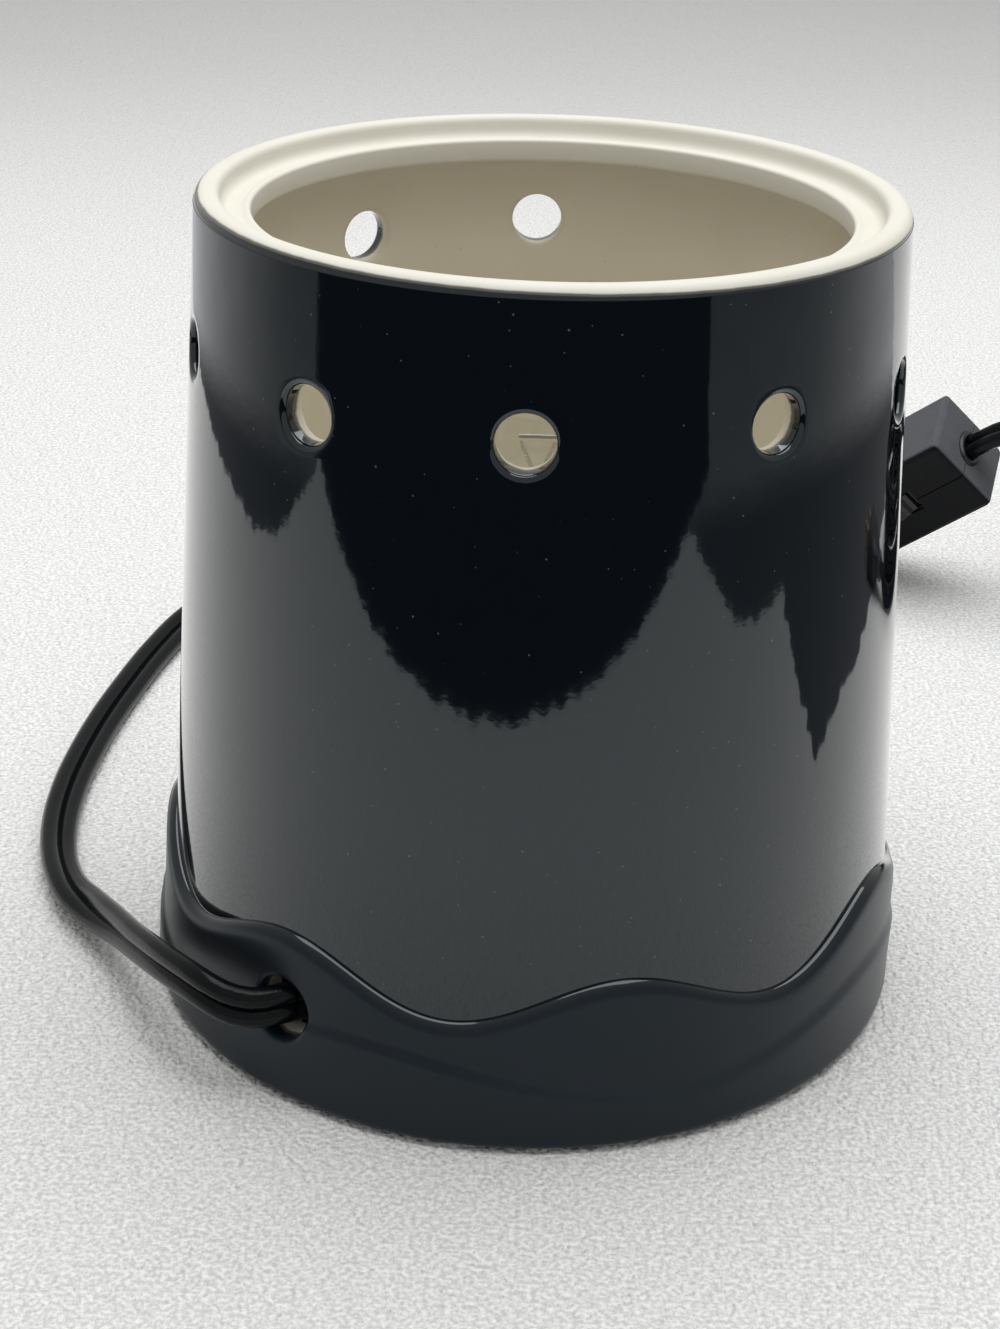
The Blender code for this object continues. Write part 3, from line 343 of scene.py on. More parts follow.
# %% [markdown]
# ## The cord inside the foot
#
# Inside the foot the cord is squeezed by its clamp, and two round leads go on from there up the
# nipple to the lamp holder. The same sweep makes them, with a share that narrows the section and
# with a plain round outline.

# %% Inner cord and leads
INNER_STEP, LEAD_SIDES, LEAD_ASIDE = 0.002, 16, Vector((0.9, 0.4, 0.1))
CLAMP_PLACE, CLAMP_WIDTH, CLAMP_SQUEEZE = (0.0, -0.038, 0.0071), 0.007, 0.68
ROUTE_INSIDE = ((-0.0314, -0.0451, 0.0158), (-0.0240, -0.0412, 0.0132), (-0.0165, -0.0388, 0.0098))
LEAD_RADIUS, LEAD_SPREAD, LEAD_HEIGHTS = 0.0011, 0.0013, (0.015, 0.026, 0.0447)
LEAD_ROUTES = {
    "live_lead": ((0.0105, -0.0358, 0.0071), (0.0140, -0.0285, 0.0072), (0.0115, -0.0180, 0.0074),
                  (0.0050, -0.0090, 0.0080), (0.0002, -0.0033, 0.0094)),
    "neutral_lead": ((0.0125, -0.0389, 0.0071), (0.0175, -0.0295, 0.0072), (0.0150, -0.0170, 0.0074),
                     (0.0085, -0.0075, 0.0080), (0.0033, -0.0023, 0.0094)),
}
clamp = Vector(CLAMP_PLACE)
held = [clamp + Vector((shift, 0, 0)) for shift in (-CLAMP_WIDTH, 0, CLAMP_WIDTH)]
inside = smooth_route([CORD_HOLE - CORD_LEAVES * GAP / 2, *ROUTE_INSIDE, *held], INNER_STEP)
shares = [ease(2 * index / len(inside)) for index in range(len(inside))]
inner_wide = [UP.lerp(Vector((0, 1, 0)), share) for share in shares]
inner_squeeze = [1 + (CLAMP_SQUEEZE - 1) * share for share in shares]
inner_cord = to_piece("inner_cord", sweep(inside, inner_wide, section, inner_squeeze), "warmer")
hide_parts("cord_inside")
disc = [(LEAD_RADIUS * math.cos(turn), LEAD_RADIUS * math.sin(turn))
        for turn in (math.tau * step / LEAD_SIDES for step in range(LEAD_SIDES))]
leads = []
for (name, route), side in zip(LEAD_ROUTES.items(), (1, -1)):
    start = clamp + Vector((CLAMP_WIDTH + GAP, side * LEAD_SPREAD, 0))
    rise = [(-side * LEAD_SPREAD, 0, height) for height in LEAD_HEIGHTS]
    path = smooth_route([start, *route, *rise], INNER_STEP)
    leads.append(to_piece(f"{name}_wire", sweep(path, [LEAD_ASIDE] * len(path), disc), "warmer"))
    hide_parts(name)

# %% [markdown]
# ## Helpers for shaders
#
# Nodes can be placed by hand in the editor. In a script they take many lines, so small functions
# keep the shaders short: `maths`, `fade` and `blend` each add one node, and `noise` and `specks`
# add a texture in Object coordinates, which stay put on the piece.

# %% Node helpers
SPECK_EDGE = 0.02


def new_group(name, inputs, outputs):
    """Empty shader node group with float, colour or vector sockets."""
    group = bpy.data.node_groups.new(name, "ShaderNodeTree")
    for side, sockets in (("INPUT", inputs), ("OUTPUT", outputs)):
        for socket, kind in sockets:
            group.interface.new_socket(socket, in_out=side, socket_type=f"NodeSocket{kind}")
    return group, group.nodes.new("NodeGroupInput"), group.nodes.new("NodeGroupOutput")


def add(tree, kind, settings=(), **inputs):
    """Node of a kind with properties set, its inputs given as values or as linked sockets."""
    node = tree.nodes.new(kind)
    for key, value in dict(settings).items():
        setattr(node, key, value)
    for key, value in inputs.items():
        socket = node.inputs[int(key[1:])] if key[1:].isdigit() else node.inputs[key.replace("_", " ")]
        if isinstance(value, bpy.types.NodeSocket):
            tree.links.new(value, socket)
        else:
            socket.default_value = value
    return node


def maths(tree, operation, *values):
    """Result of a math node."""
    numbered = {f"n{index}": value for index, value in enumerate(values)}
    return add(tree, "ShaderNodeMath", {"operation": operation}, **numbered).outputs[0]


def fade(tree, value, low, high):
    """Smooth change from 0 to 1 as a value goes from low to high."""
    node = add(tree, "ShaderNodeMapRange", {"interpolation_type": "SMOOTHSTEP"}, n0=value, n1=low, n2=high)
    return node.outputs[0]


def blend(tree, factor, first, second):
    """Mix of two colours."""
    node = add(tree, "ShaderNodeMix", {"data_type": "RGBA"}, n0=factor, n6=first, n7=second)
    return node.outputs[2]


def noise(tree, scale, detail=4.0, stretch=None, turn=0.0):
    """Noise value in Object coordinates, from 0 to 1."""
    place = tree.nodes.new("ShaderNodeTexCoord").outputs["Object"]
    if stretch:
        place = add(tree, "ShaderNodeMapping", n0=place, n2=(0, 0, math.radians(turn)), n3=stretch).outputs[0]
    return add(tree, "ShaderNodeTexNoise", Vector=place, Scale=scale, Detail=detail).outputs[0]


def specks(tree, scale, size):
    """Scattered round specks, 1 inside and 0 outside; size is a share of the space between them."""
    place = tree.nodes.new("ShaderNodeTexCoord").outputs["Object"]
    cells = add(tree, "ShaderNodeTexVoronoi", Vector=place, Scale=scale).outputs
    chance = add(tree, "ShaderNodeSeparateColor", n0=cells["Color"]).outputs[0]
    reach = maths(tree, "MULTIPLY", chance, size)
    return fade(tree, maths(tree, "SUBTRACT", reach, cells["Distance"]), 0.0, SPECK_EDGE)

# %% [markdown]
# ## Grain
#
# Real surfaces are never one flat colour. The `grain` group gives every plain material its small
# changes of tone and gloss and a fine bump. It could be copied into each material, but a group is
# built once and takes other values in each.

# %% Grain group
FINE_GRAIN, GRAIN_DEPTH = 6.0, 0.0002
GRAIN_INPUTS = (("Colour", "Color"), ("Spread", "Float"), ("Gloss", "Float"), ("Gloss spread", "Float"),
                ("Scale", "Float"), ("Bump", "Float"))
GRAIN_OUTPUTS = (("Colour", "Color"), ("Roughness", "Float"), ("Normal", "Vector"))
grain, taken, given = new_group("grain", GRAIN_INPUTS, GRAIN_OUTPUTS)
coarse = noise(grain, taken.outputs["Scale"])
swing = maths(grain, "MULTIPLY_ADD", coarse, 2.0, -1.0)
tone = maths(grain, "MULTIPLY_ADD", swing, taken.outputs["Spread"], 1.0)
tinted = add(grain, "ShaderNodeHueSaturation", Value=tone, Color=taken.outputs["Colour"]).outputs[0]
gloss = maths(grain, "MULTIPLY_ADD", swing, taken.outputs["Gloss spread"], taken.outputs["Gloss"])
fine = noise(grain, maths(grain, "MULTIPLY", taken.outputs["Scale"], FINE_GRAIN))
bumped = add(grain, "ShaderNodeBump", Strength=taken.outputs["Bump"], Distance=GRAIN_DEPTH,
             Height=fine).outputs[0]
for socket, value in (("Colour", tinted), ("Roughness", gloss), ("Normal", bumped)):
    grain.links.new(value, given.inputs[socket])
print("grain group:", len(grain.nodes), "nodes")

# %% [markdown]
# ## Plain materials
#
# Vinyl, moulded plastic, rubber, brass and zinc differ mostly in colour, gloss and grain. Each row
# below is one finish: colour, roughness, how much the tone varies, the size of the grain and the
# height of its bump. Metals are metallic, and the bulb's glass lets light through. A table is
# chosen because finishes are then easy to compare.

# %% Plain materials
GLOSS_SHARE = 0.3


def material(name, colour, roughness, spread=0.15, scale=300, bump=0.1, **settings):
    """Principled material with grain; settings are constants on the shader's own sockets."""
    made = bpy.data.materials.new(name)
    made.use_nodes = True
    tree = made.node_tree
    shader = tree.nodes["Principled BSDF"]
    group = add(tree, "ShaderNodeGroup", {"node_tree": grain}, Colour=(*colour, 1), Spread=spread,
                Gloss=roughness, Gloss_spread=GLOSS_SHARE * roughness, Scale=scale, Bump=bump)
    for socket, target in (("Colour", "Base Color"), ("Roughness", "Roughness"), ("Normal", "Normal")):
        tree.links.new(group.outputs[socket], shader.inputs[target])
    for key, value in settings.items():
        shader.inputs[key.replace("_", " ")].default_value = value
    return made


vinyl = material("cord_vinyl", (0.0030, 0.0038, 0.0050), 0.16, 0.4, 220, 0.25, IOR=1.26)
moulded = material("switch_plastic", (0.092, 0.096, 0.106), 0.5, 0.25, 500, 0.4, IOR=1.22)
cover_black = material("cover_plastic", (0.014, 0.014, 0.016), 0.5, 0.25, 400, 0.4)
plug_black = material("plug_vinyl", (0.012, 0.012, 0.014), 0.4, 0.25, 300, 0.35)
tie_black = material("tie_plastic", (0.016, 0.016, 0.017), 0.38, 0.2, 300, 0.2)
rubber = material("foot_rubber", (0.022, 0.021, 0.020), 0.85, 0.3, 700, 0.6)
phenolic = material("phenolic", (0.020, 0.018, 0.016), 0.3, 0.3, 260, 0.15)
nylon = material("nylon", (0.70, 0.68, 0.61), 0.45, 0.06, 300, 0.15, Subsurface_Weight=0.1)
zinc = material("zinc_steel", (0.60, 0.60, 0.61), 0.32, 0.12, 500, 0.2, Metallic=1.0)
brass = material("brass", (0.78, 0.58, 0.28), 0.25, 0.12, 400, 0.15, Metallic=1.0)
nickel = material("nickel_wire", (0.62, 0.60, 0.56), 0.28, 0.1, 900, 0.1, Metallic=1.0)
tungsten = material("tungsten", (0.30, 0.28, 0.26), 0.35, 0.2, 2000, 0.4, Metallic=1.0)
glass = material("clear_glass", (0.97, 0.98, 0.98), 0.02, 0.01, 60, 0.02, Transmission_Weight=1.0,
                 IOR=1.5)
stem_glass = material("stem_glass", (0.93, 0.95, 0.95), 0.05, 0.02, 200, 0.1, Transmission_Weight=0.9,
                      IOR=1.5)
lead_vinyl = material("lead_vinyl", (0.016, 0.016, 0.018), 0.45, 0.3, 400, 0.2)
wheel_black = material("wheel_plastic", (0.010, 0.010, 0.012), 0.35, 0.25, 500, 0.3)
print(len(bpy.data.materials), "materials so far")

# %% [markdown]
# ## Where the glaze ends
#
# The shell is dipped in glaze up to a thin line at the rim's outer edge, and the band round its
# foot has a satin skin. Vertex colours could mark these places, but their edges would be as coarse
# as the mesh. So masks are worked out from height, radius and angle in Object coordinates, with a
# little noise to make the edges ragged.

# %% Glaze places
HEIGHT, RIM_RADIUS, BASE_RADIUS, WALL = 0.1388, 0.057, 0.0643, 0.0045
BAND_HEIGHT, BAND_SWELL, BAND_WAVES, CORD_HOLE_ANGLE = 0.026, 0.004, 7, -38
GLAZE_CREEP, GLAZE_RAGGED, LINE_RAGGED = 0.00045, 0.0007, 0.15
SATIN_FROM, SATIN_TO, SATIN_DEPTH = -0.0004, 0.0012, 0.002
WITHIN_FROM, WITHIN_TO = 0.0018, 0.0030
ABOVE_FROM, ABOVE_TO = HEIGHT - 0.0017, HEIGHT - 0.0011

shell_glaze = bpy.data.materials.new("black_glaze")
shell_glaze.use_nodes = True
tree = shell_glaze.node_tree
shader = tree.nodes["Principled BSDF"]
place = tree.nodes.new("ShaderNodeTexCoord").outputs["Object"]
split = add(tree, "ShaderNodeSeparateXYZ", n0=place).outputs
flat = add(tree, "ShaderNodeCombineXYZ", n0=split[0], n1=split[1]).outputs[0]
radius = add(tree, "ShaderNodeVectorMath", {"operation": "LENGTH"}, n0=flat).outputs["Value"]
height = split[2]
turn = maths(tree, "ARCTAN2", split[0], maths(tree, "MULTIPLY", split[1], -1.0))

ragged = maths(tree, "MULTIPLY_ADD", noise(tree, 260.0), 2 * GLAZE_RAGGED, -GLAZE_RAGGED)
outside = maths(tree, "MULTIPLY_ADD", height, (RIM_RADIUS - BASE_RADIUS) / HEIGHT, BASE_RADIUS)
from_hole = maths(tree, "SUBTRACT", turn, math.radians(CORD_HOLE_ANGLE))
wave = maths(tree, "COSINE", maths(tree, "MULTIPLY", from_hole, float(BAND_WAVES)))
edge = maths(tree, "MULTIPLY_ADD", wave, BAND_SWELL, BAND_HEIGHT)
satin = fade(tree, maths(tree, "SUBTRACT", edge, height), SATIN_FROM, SATIN_TO)

depth = maths(tree, "ADD", maths(tree, "SUBTRACT", outside, radius), ragged)
depth = maths(tree, "MULTIPLY_ADD", satin, SATIN_DEPTH, depth)
within = fade(tree, depth, WITHIN_FROM, WITHIN_TO)
creep = maths(tree, "MULTIPLY_ADD", maths(tree, "SINE", turn), GLAZE_CREEP, -GLAZE_CREEP)
level = maths(tree, "ADD", maths(tree, "MULTIPLY_ADD", ragged, LINE_RAGGED, height), creep)
above = fade(tree, level, ABOVE_FROM, ABOVE_TO)
bare = maths(tree, "MAXIMUM", within, above)
print("glaze places:", len(tree.nodes), "nodes")

# %% [markdown]
# ## The shell's colours
#
# The glaze is nearly black with a breath of blue, and carries a little dust. The bare rim is cream.
# Inside, the ceramic is beige, painted paler low down as painted light and darker under the lip as painted
# shade. Both have faint mottling and speckles, and a thin burnt line parts them from the glaze. Mixes by mask
# are chosen over separate materials, because they fade into each other.

# %% Glaze colours
CREAM = (0.79, 0.77, 0.70, 1), (0.715, 0.685, 0.595, 1)
LIT_BEIGE = (0.93, 0.875, 0.745, 1), (0.80, 0.745, 0.61, 1)
SHADED_BEIGE = (0.77, 0.715, 0.595, 1), (0.63, 0.575, 0.46, 1)
NAVY = (0.0062, 0.0080, 0.0120, 1), (0.0095, 0.0120, 0.0170, 1)
BLACK, DUST, DUST_SHARE = (0.0014, 0.0034, 0.0062, 1), (0.16, 0.17, 0.18, 1), 0.55
SPECKLE, SPECKLE_SHARE = (0.42, 0.36, 0.26, 1), 0.35
BURNT, BURNT_WEIGHT, BARE_FROM = (0.055, 0.046, 0.031, 1), 3.2, 0.85
SHADE_FROM, SHADE_TO = HEIGHT - 0.026, HEIGHT - 0.010
INSIDE_FROM, INSIDE_TO = HEIGHT - 0.006, HEIGHT - 0.012

mottle = noise(tree, 55.0, 6.0)
speck = specks(tree, 260.0, 0.07)
cream = blend(tree, mottle, *CREAM)
stain = noise(tree, 38.0, 6.0)
beige = blend(tree, stain, *LIT_BEIGE)
shaded_beige = blend(tree, stain, *SHADED_BEIGE)
# painted shade: the beige darkens towards the lip, and its paler tone low down is painted light
beige = blend(tree, fade(tree, height, SHADE_FROM, SHADE_TO), beige, shaded_beige)
cream = blend(tree, fade(tree, height, INSIDE_FROM, INSIDE_TO), cream, beige)
cream = blend(tree, maths(tree, "MULTIPLY", speck, SPECKLE_SHARE), cream, SPECKLE)
dust = specks(tree, 520.0, 0.10)
black = blend(tree, maths(tree, "MULTIPLY", dust, DUST_SHARE), BLACK, DUST)
navy = blend(tree, mottle, *NAVY)
dark = blend(tree, satin, black, navy)
burnt = add(tree, "ShaderNodeValToRGB", n0=bare)
burnt.color_ramp.elements[0].color = (0.0, 0.0, 0.0, 1)
burnt.color_ramp.elements[1].position = BARE_FROM
halfway = maths(tree, "MULTIPLY", bare, maths(tree, "SUBTRACT", 1.0, bare))
line = maths(tree, "MULTIPLY", halfway, BURNT_WEIGHT)
colour = blend(tree, line, blend(tree, burnt.outputs[0], dark, cream), BURNT)
tree.links.new(colour, shader.inputs["Base Color"])
print("with its colours:", len(tree.nodes), "nodes")

# %% [markdown]
# ## The shell's gloss
#
# The glaze is mirror-smooth, the band is satin and the bare ceramic is matt. A clear coat over the
# dark base gives the depth of real glaze. Slow ripples in the bump bend its reflections a little. A
# constant goes on the shader's own socket, where an export can find it.

# %% Glaze gloss
SATIN_ROUGH, ROUGH_MOTTLE, BARE_ROUGH, GLAZE_POLISH = 0.26, 0.12, 0.25, -0.86
RIPPLE, SWELL, PITS, GLAZE_BUMP, GLAZE_DEPTH = 1.2, 0.09, 0.12, 0.12, 0.0008
GLAZE_SOCKETS = {"IOR": 1.38, "Specular Tint": (0.74, 0.92, 1.0, 1), "Coat IOR": 1.47,
                 "Coat Roughness": 0.045}

gloss = maths(tree, "MULTIPLY", maths(tree, "SUBTRACT", 1.0, satin), maths(tree, "SUBTRACT", 1.0, bare))
rough = maths(tree, "MULTIPLY_ADD", mottle, ROUGH_MOTTLE, SATIN_ROUGH)
rough = maths(tree, "MULTIPLY_ADD", bare, BARE_ROUGH, rough)
polished = maths(tree, "MULTIPLY_ADD", gloss, GLAZE_POLISH, 1.0)
tree.links.new(maths(tree, "MULTIPLY", rough, polished), shader.inputs["Roughness"])
tree.links.new(gloss, shader.inputs["Coat Weight"])
swell = maths(tree, "MULTIPLY", noise(tree, 380.0), SWELL)
ripple = maths(tree, "MULTIPLY_ADD", noise(tree, 30.0, 2.0), RIPPLE, swell)
pits = maths(tree, "MULTIPLY", maths(tree, "MULTIPLY", noise(tree, 700.0), bare), PITS)
bump = add(tree, "ShaderNodeBump", Strength=GLAZE_BUMP, Distance=GLAZE_DEPTH,
           Height=maths(tree, "ADD", ripple, pits))
tree.links.new(bump.outputs[0], shader.inputs["Normal"])
tree.links.new(bump.outputs[0], shader.inputs["Coat Normal"])
for socket, value in GLAZE_SOCKETS.items():
    shader.inputs[socket].default_value = value
print("shell material:", len(tree.nodes), "nodes")

# %% [markdown]
# ## The shell's outline
#
# The shell tapers slightly from its foot to its stepped rim, and a wavy band stands proud round the
# foot. The band could be sculpted or displaced. Here functions of angle and height give the
# surface, so that the wall, the holes and the band agree to the last point.

# %% Shell outline
FOOT_LIFT, FOOT_ROUND, RIM_ROUND = 0.0008, 0.0012, 0.0018
FLOOR_UNDER, FLOOR_TOP, AXIS_BORE = 0.026, 0.031, 0.0054
RIM_LAND, SEAT_DEPTH, SEAT_WIDTH, LIP_HEIGHT, COVE, DIP = 0.0041, 0.003, 0.0049, 0.004, 0.0014, 0.0004
LAND_ROUND, LIP_ROUND, LIP_UNDER_ROUND, CORNER_ROUND = 0.0012, 0.0006, 0.0007, 0.0012
RELIEF, BAND_ROUND, LAYER_STEP, BAND_ZONE = 0.0025, 0.0028, 0.0008, 0.037
LAYER_HEIGHT, LAYER_SWELL, LAYER_WAVES, LAYER_TURN, LAYER_EDGE = 0.0125, 0.0035, 4, 25, 0.0024
DRAW_IN, DRAW_IN_ANGLE = 0.6, 75


def band_edge(angle):
    return BAND_HEIGHT + BAND_SWELL * math.cos(BAND_WAVES * math.radians(angle - CORD_HOLE_ANGLE))


def relief(angle, height):
    """How far the band stands out: a rolled upper edge, and a lower layer with a slower wave of its own."""
    upper = (band_edge(angle) - height) / BAND_ROUND
    lower = LAYER_HEIGHT + LAYER_SWELL * math.cos(LAYER_WAVES * math.radians(angle + LAYER_TURN)) - height
    rolled = math.sqrt(1 - (1 - min(1.0, max(0.0, upper))) ** 2)
    facing = max(0.0, math.cos(math.radians(angle - DRAW_IN_ANGLE)))
    draw_in = DRAW_IN * facing * ease(1 - height / BAND_HEIGHT)
    layered = (RELIEF - LAYER_STEP) * rolled + LAYER_STEP * ease(lower / LAYER_EDGE + 0.5)
    return layered * (1 - draw_in)


def row_height(row, angle):
    """Height of a row: 0 to 1 is the band up to its edge, 1 to 2 is just above it, 2 to 3 the plain wall."""
    stops = (FOOT_LIFT + FOOT_ROUND, band_edge(angle), BAND_ZONE, HEIGHT - RIM_ROUND)
    part = min(2, int(row))
    return stops[part] + (stops[part + 1] - stops[part]) * (row - part)


def outer(angle, height):
    return BASE_RADIUS + (RIM_RADIUS - BASE_RADIUS) * height / HEIGHT + relief(angle, height)


def inner(angle, height):
    return BASE_RADIUS + (RIM_RADIUS - BASE_RADIUS) * height / HEIGHT - WALL


def rim_profile():
    """Radius and height of the rings over the rim: rounded land, cove, dipped seat and crisp lip."""
    land, seat = RIM_RADIUS - RIM_LAND, HEIGHT - SEAT_DEPTH
    lip, under = land - SEAT_WIDTH, seat - LIP_HEIGHT
    return [*arc((RIM_RADIUS - RIM_ROUND, HEIGHT - RIM_ROUND), RIM_ROUND, 0, 90, 6),
            *arc((land + LAND_ROUND, HEIGHT - LAND_ROUND), LAND_ROUND, 90, 180, 5),
            *arc((land - COVE, seat - DIP + COVE), COVE, 0, -90, 6),
            *[(lip + share * LIP_ROUND, seat - dip * DIP) for share, dip in ((3, 1), (2, 0.6), (1.5, 0.1))],
            *arc((lip + LIP_ROUND, seat - LIP_ROUND), LIP_ROUND, 90, 180, 5),
            *arc((lip + LIP_UNDER_ROUND, under + LIP_UNDER_ROUND), LIP_UNDER_ROUND, 180, 270, 3),
            *arc((inner(0, under) - CORNER_ROUND, under - CORNER_ROUND), CORNER_ROUND, 90, 0, 3)]


print(f"rim of {len(rim_profile())} rings, band {1000 * RELIEF:.1f} mm proud")

# %% [markdown]
# ## A grid for the wall
#
# The wall is a grid of columns round the axis and rows up the side. `spin` would make a plain wall,
# but not one whose rows follow a wavy band, so the rings are placed point by point.

# %% Shell grid
COLUMNS = 300
COLUMN_ANGLES = [360 * index / COLUMNS for index in range(COLUMNS)]


def spaced(low, high, step):
    """Even rows from low to high, about a step apart."""
    count = round((high - low) / step)
    return [low + (high - low) * index / count for index in range(count + 1)]


def wall(bm, rows, surface):
    """Rings of points up a wall."""
    rings = []
    for row in rows:
        places = [(angle, row_height(row, angle)) for angle in COLUMN_ANGLES]
        rings.append([bm.verts.new(around(angle, surface(angle, height), height))
                      for angle, height in places])
    return rings


def turned_rings(bm, profile):
    """Rings of points round the axis, one for each point of a profile."""
    return [[bm.verts.new(around(angle, radius, height)) for angle in COLUMN_ANGLES]
            for radius, height in profile]


print(f"{COLUMNS} columns round the shell")

# %% [markdown]
# ## Holes in the wall
#
# Round air holes let the warmth out, and the cord leaves by one more. A boolean would cut them, but
# leaves slivers that show in a mirror-smooth glaze. So a block of cells is left out, and rings fill
# it from the block's edge to the hole's lip, round the lip, through the wall and out again on the
# inside.

# %% Shell holes
HOLE_LIP, HOLE_MARGIN, LIP_STEPS, AIR_HOLE, CORD_HOLE_RADIUS = 0.0010, 0.0016, 5, 0.0045, 0.00525
AIR_HOLES = ((-143, 0.1187), (-109, 0.1155), (-75, 0.1153), (-38, 0.1153), (-3.6, 0.116), (35, 0.1166),
             (72, 0.1128), (107, 0.1155), (182, 0.12))
HOLES = [(angle, height, AIR_HOLE) for angle, height in AIR_HOLES]
HOLES.append((CORD_HOLE_ANGLE, 0.0165, CORD_HOLE_RADIUS))


def find_block(hole, rows):
    """Columns and rows of the block of cells that a hole takes out, or none if these rows don't hold it."""
    angle, height, radius = hole
    heights = [row_height(row, angle) for row in rows]
    reach = radius + HOLE_LIP + HOLE_MARGIN
    if not heights[0] < height - reach < height + reach < heights[-1]:
        return None
    turn = math.degrees(reach / outer(angle, height)) * COLUMNS / 360
    middle = angle * COLUMNS / 360
    inside = [index for index, row in enumerate(heights) if abs(row - height) < reach]
    return math.floor(middle - turn), math.ceil(middle + turn), inside[0] - 1, inside[-1] + 1


def skin(bm, rings, rows):
    """Faces of a wall, with blocks left out for its holes; returns each hole's block edge."""
    blocks = {hole: block for hole in HOLES if (block := find_block(hole, rows))}
    taken = {(i % COLUMNS, j) for i0, i1, j0, j1 in blocks.values()
             for i in range(i0, i1) for j in range(j0, j1)}
    for j, (low, high) in enumerate(zip(rings, rings[1:])):
        for i in range(COLUMNS):
            if (i, j) not in taken:
                k = (i + 1) % COLUMNS
                bm.faces.new((low[i], low[k], high[k], high[i]))
    edges = {}
    for hole, (i0, i1, j0, j1) in blocks.items():
        trail = [(i, j0) for i in range(i0, i1)] + [(i1, j) for j in range(j0, j1)]
        trail += [(i, j1) for i in range(i1, i0, -1)] + [(i0, j) for j in range(j1, j0, -1)]
        edges[hole] = [rings[j][i % COLUMNS] for i, j in trail]
    return edges


def bore(bm, hole, outside_edge, inside_edge):
    """Rings from the outer block's edge over the lip, through the wall and to the inner block's edge."""
    angle, height, radius = hole
    ahead, aside = around(angle, 1, 0), around(angle + 90, 1, 0)

    def ring(surface, points, sunk):
        verts = []
        for s, h in points:
            turned = angle + math.degrees(s / surface(angle, height))
            reach = math.sqrt(surface(turned, height + h) ** 2 - s ** 2)
            verts.append(bm.verts.new(ahead * (reach + sunk) + aside * s + Vector((0, 0, height + h))))
        return verts

    start = [(vert.co.dot(aside), vert.co.z - height) for vert in outside_edge]
    turns = [math.atan2(h, s) for s, h in start]
    lip_turns = [math.radians(90 * step / LIP_STEPS) for step in range(LIP_STEPS + 1)]

    def circle(size):
        return [(size * math.cos(turn), size * math.sin(turn)) for turn in turns]

    def between(share):
        return [((1 - share) * s + share * u, (1 - share) * h + share * v)
                for (s, h), (u, v) in zip(start, circle(radius + HOLE_LIP))]

    loops = [outside_edge, *[ring(outer, between(share), 0) for share in (0.35, 0.7)]]
    for surface, side, order in ((outer, -1, lip_turns), (inner, 1, lip_turns[::-1])):
        for turn in order:
            points = circle(radius + HOLE_LIP * (1 - math.sin(turn)))
            loops.append(ring(surface, points, side * HOLE_LIP * (1 - math.cos(turn))))
    loops += [ring(inner, between(share), 0) for share in (0.7, 0.35)] + [inside_edge]
    for near, far in zip(loops, loops[1:]):
        bridge(bm, near, far)


print(len(HOLES), "holes")

# %% [markdown]
# ## The shell
#
# The outer wall, the chamber and the hollow under its floor are three walls of rings. The rim, the
# floor and the foot join them into one closed body, and each hole is bored through. One closed mesh
# is chosen because the glaze then runs over every edge without a seam.

# %% Shell
FLOOR_ROUND, LIP_CLEAR, SHELL_SMOOTH = 0.0035, 0.0016, 60
bm = bmesh.new()
outer_rows = spaced(0, 0.84, 0.035) + [0.87, 0.9, 0.925, 0.945, 0.962, 0.976, 0.987, 0.995, 0.999]
outer_rows += [1, 1.04, 1.12] + spaced(1.2, 1.9, 0.1) + spaced(2, 3, 0.02)
chamber_top = HEIGHT - SEAT_DEPTH - LIP_HEIGHT - LIP_CLEAR
chamber_rows = [row for row in outer_rows if 2 <= row and row_height(row, 0) < chamber_top]
cavity_rows = [row for row in outer_rows if row < 0.85]
outside = wall(bm, outer_rows, outer)
chamber = wall(bm, chamber_rows, inner)
cavity = wall(bm, cavity_rows, inner)
rim = turned_rings(bm, rim_profile())
wall_foot = inner(0, FLOOR_TOP)
floor_corner = (wall_foot - FLOOR_ROUND, FLOOR_TOP + FLOOR_ROUND)
floor_rings = turned_rings(bm, [*arc(floor_corner, FLOOR_ROUND, 0, -90, 5),
                                *[(share * wall_foot, FLOOR_TOP) for share in (0.7, 0.4, 0.2)],
                                (AXIS_BORE, FLOOR_TOP), (AXIS_BORE, FLOOR_UNDER),
                                *[(share * wall_foot, FLOOR_UNDER) for share in (0.2, 0.4, 0.7)],
                                (inner(0, FLOOR_UNDER), FLOOR_UNDER)])
foot = turned_rings(bm, [(inner(0, FOOT_LIFT), FOOT_LIFT)])
for foot_turn in (math.radians(degrees) for degrees in (90, 67.5, 45, 22.5)):
    drawn_in = FOOT_ROUND * (1 - math.cos(foot_turn))
    rise = FOOT_LIFT + FOOT_ROUND * (1 - math.sin(foot_turn))
    foot.append([bm.verts.new(around(angle, outer(angle, FOOT_LIFT + FOOT_ROUND) - drawn_in, rise))
                 for angle in COLUMN_ANGLES])
outside_edges, chamber_edges = skin(bm, outside, outer_rows), skin(bm, chamber, chamber_rows)
cavity_edges = skin(bm, cavity, cavity_rows)
chains = ([outside[-1], *rim, chamber[-1]], [chamber[0], *floor_rings, cavity[-1]],
          [cavity[0], *foot, outside[0]])
for rings in chains:
    for near, far in zip(rings, rings[1:]):
        bridge(bm, near, far)
for hole, edge in outside_edges.items():
    bore(bm, hole, edge, (chamber_edges | cavity_edges)[hole])
bmesh.ops.delete(bm, geom=[vert for vert in bm.verts if not vert.link_faces], context="VERTS")
shell = to_piece("glazed_shell", bm, "warmer", shell_glaze, SHELL_SMOOTH)
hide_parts("ceramic_shell")

# %% [markdown]
# ## The bulb
#
# A small clear globe. It could be a sphere joined to a tube, but a profile turned like a lathe's
# gives the soft sweep into the neck. The profile has an outer and an inner side, so that light
# bends through a thin wall as in a real bulb.

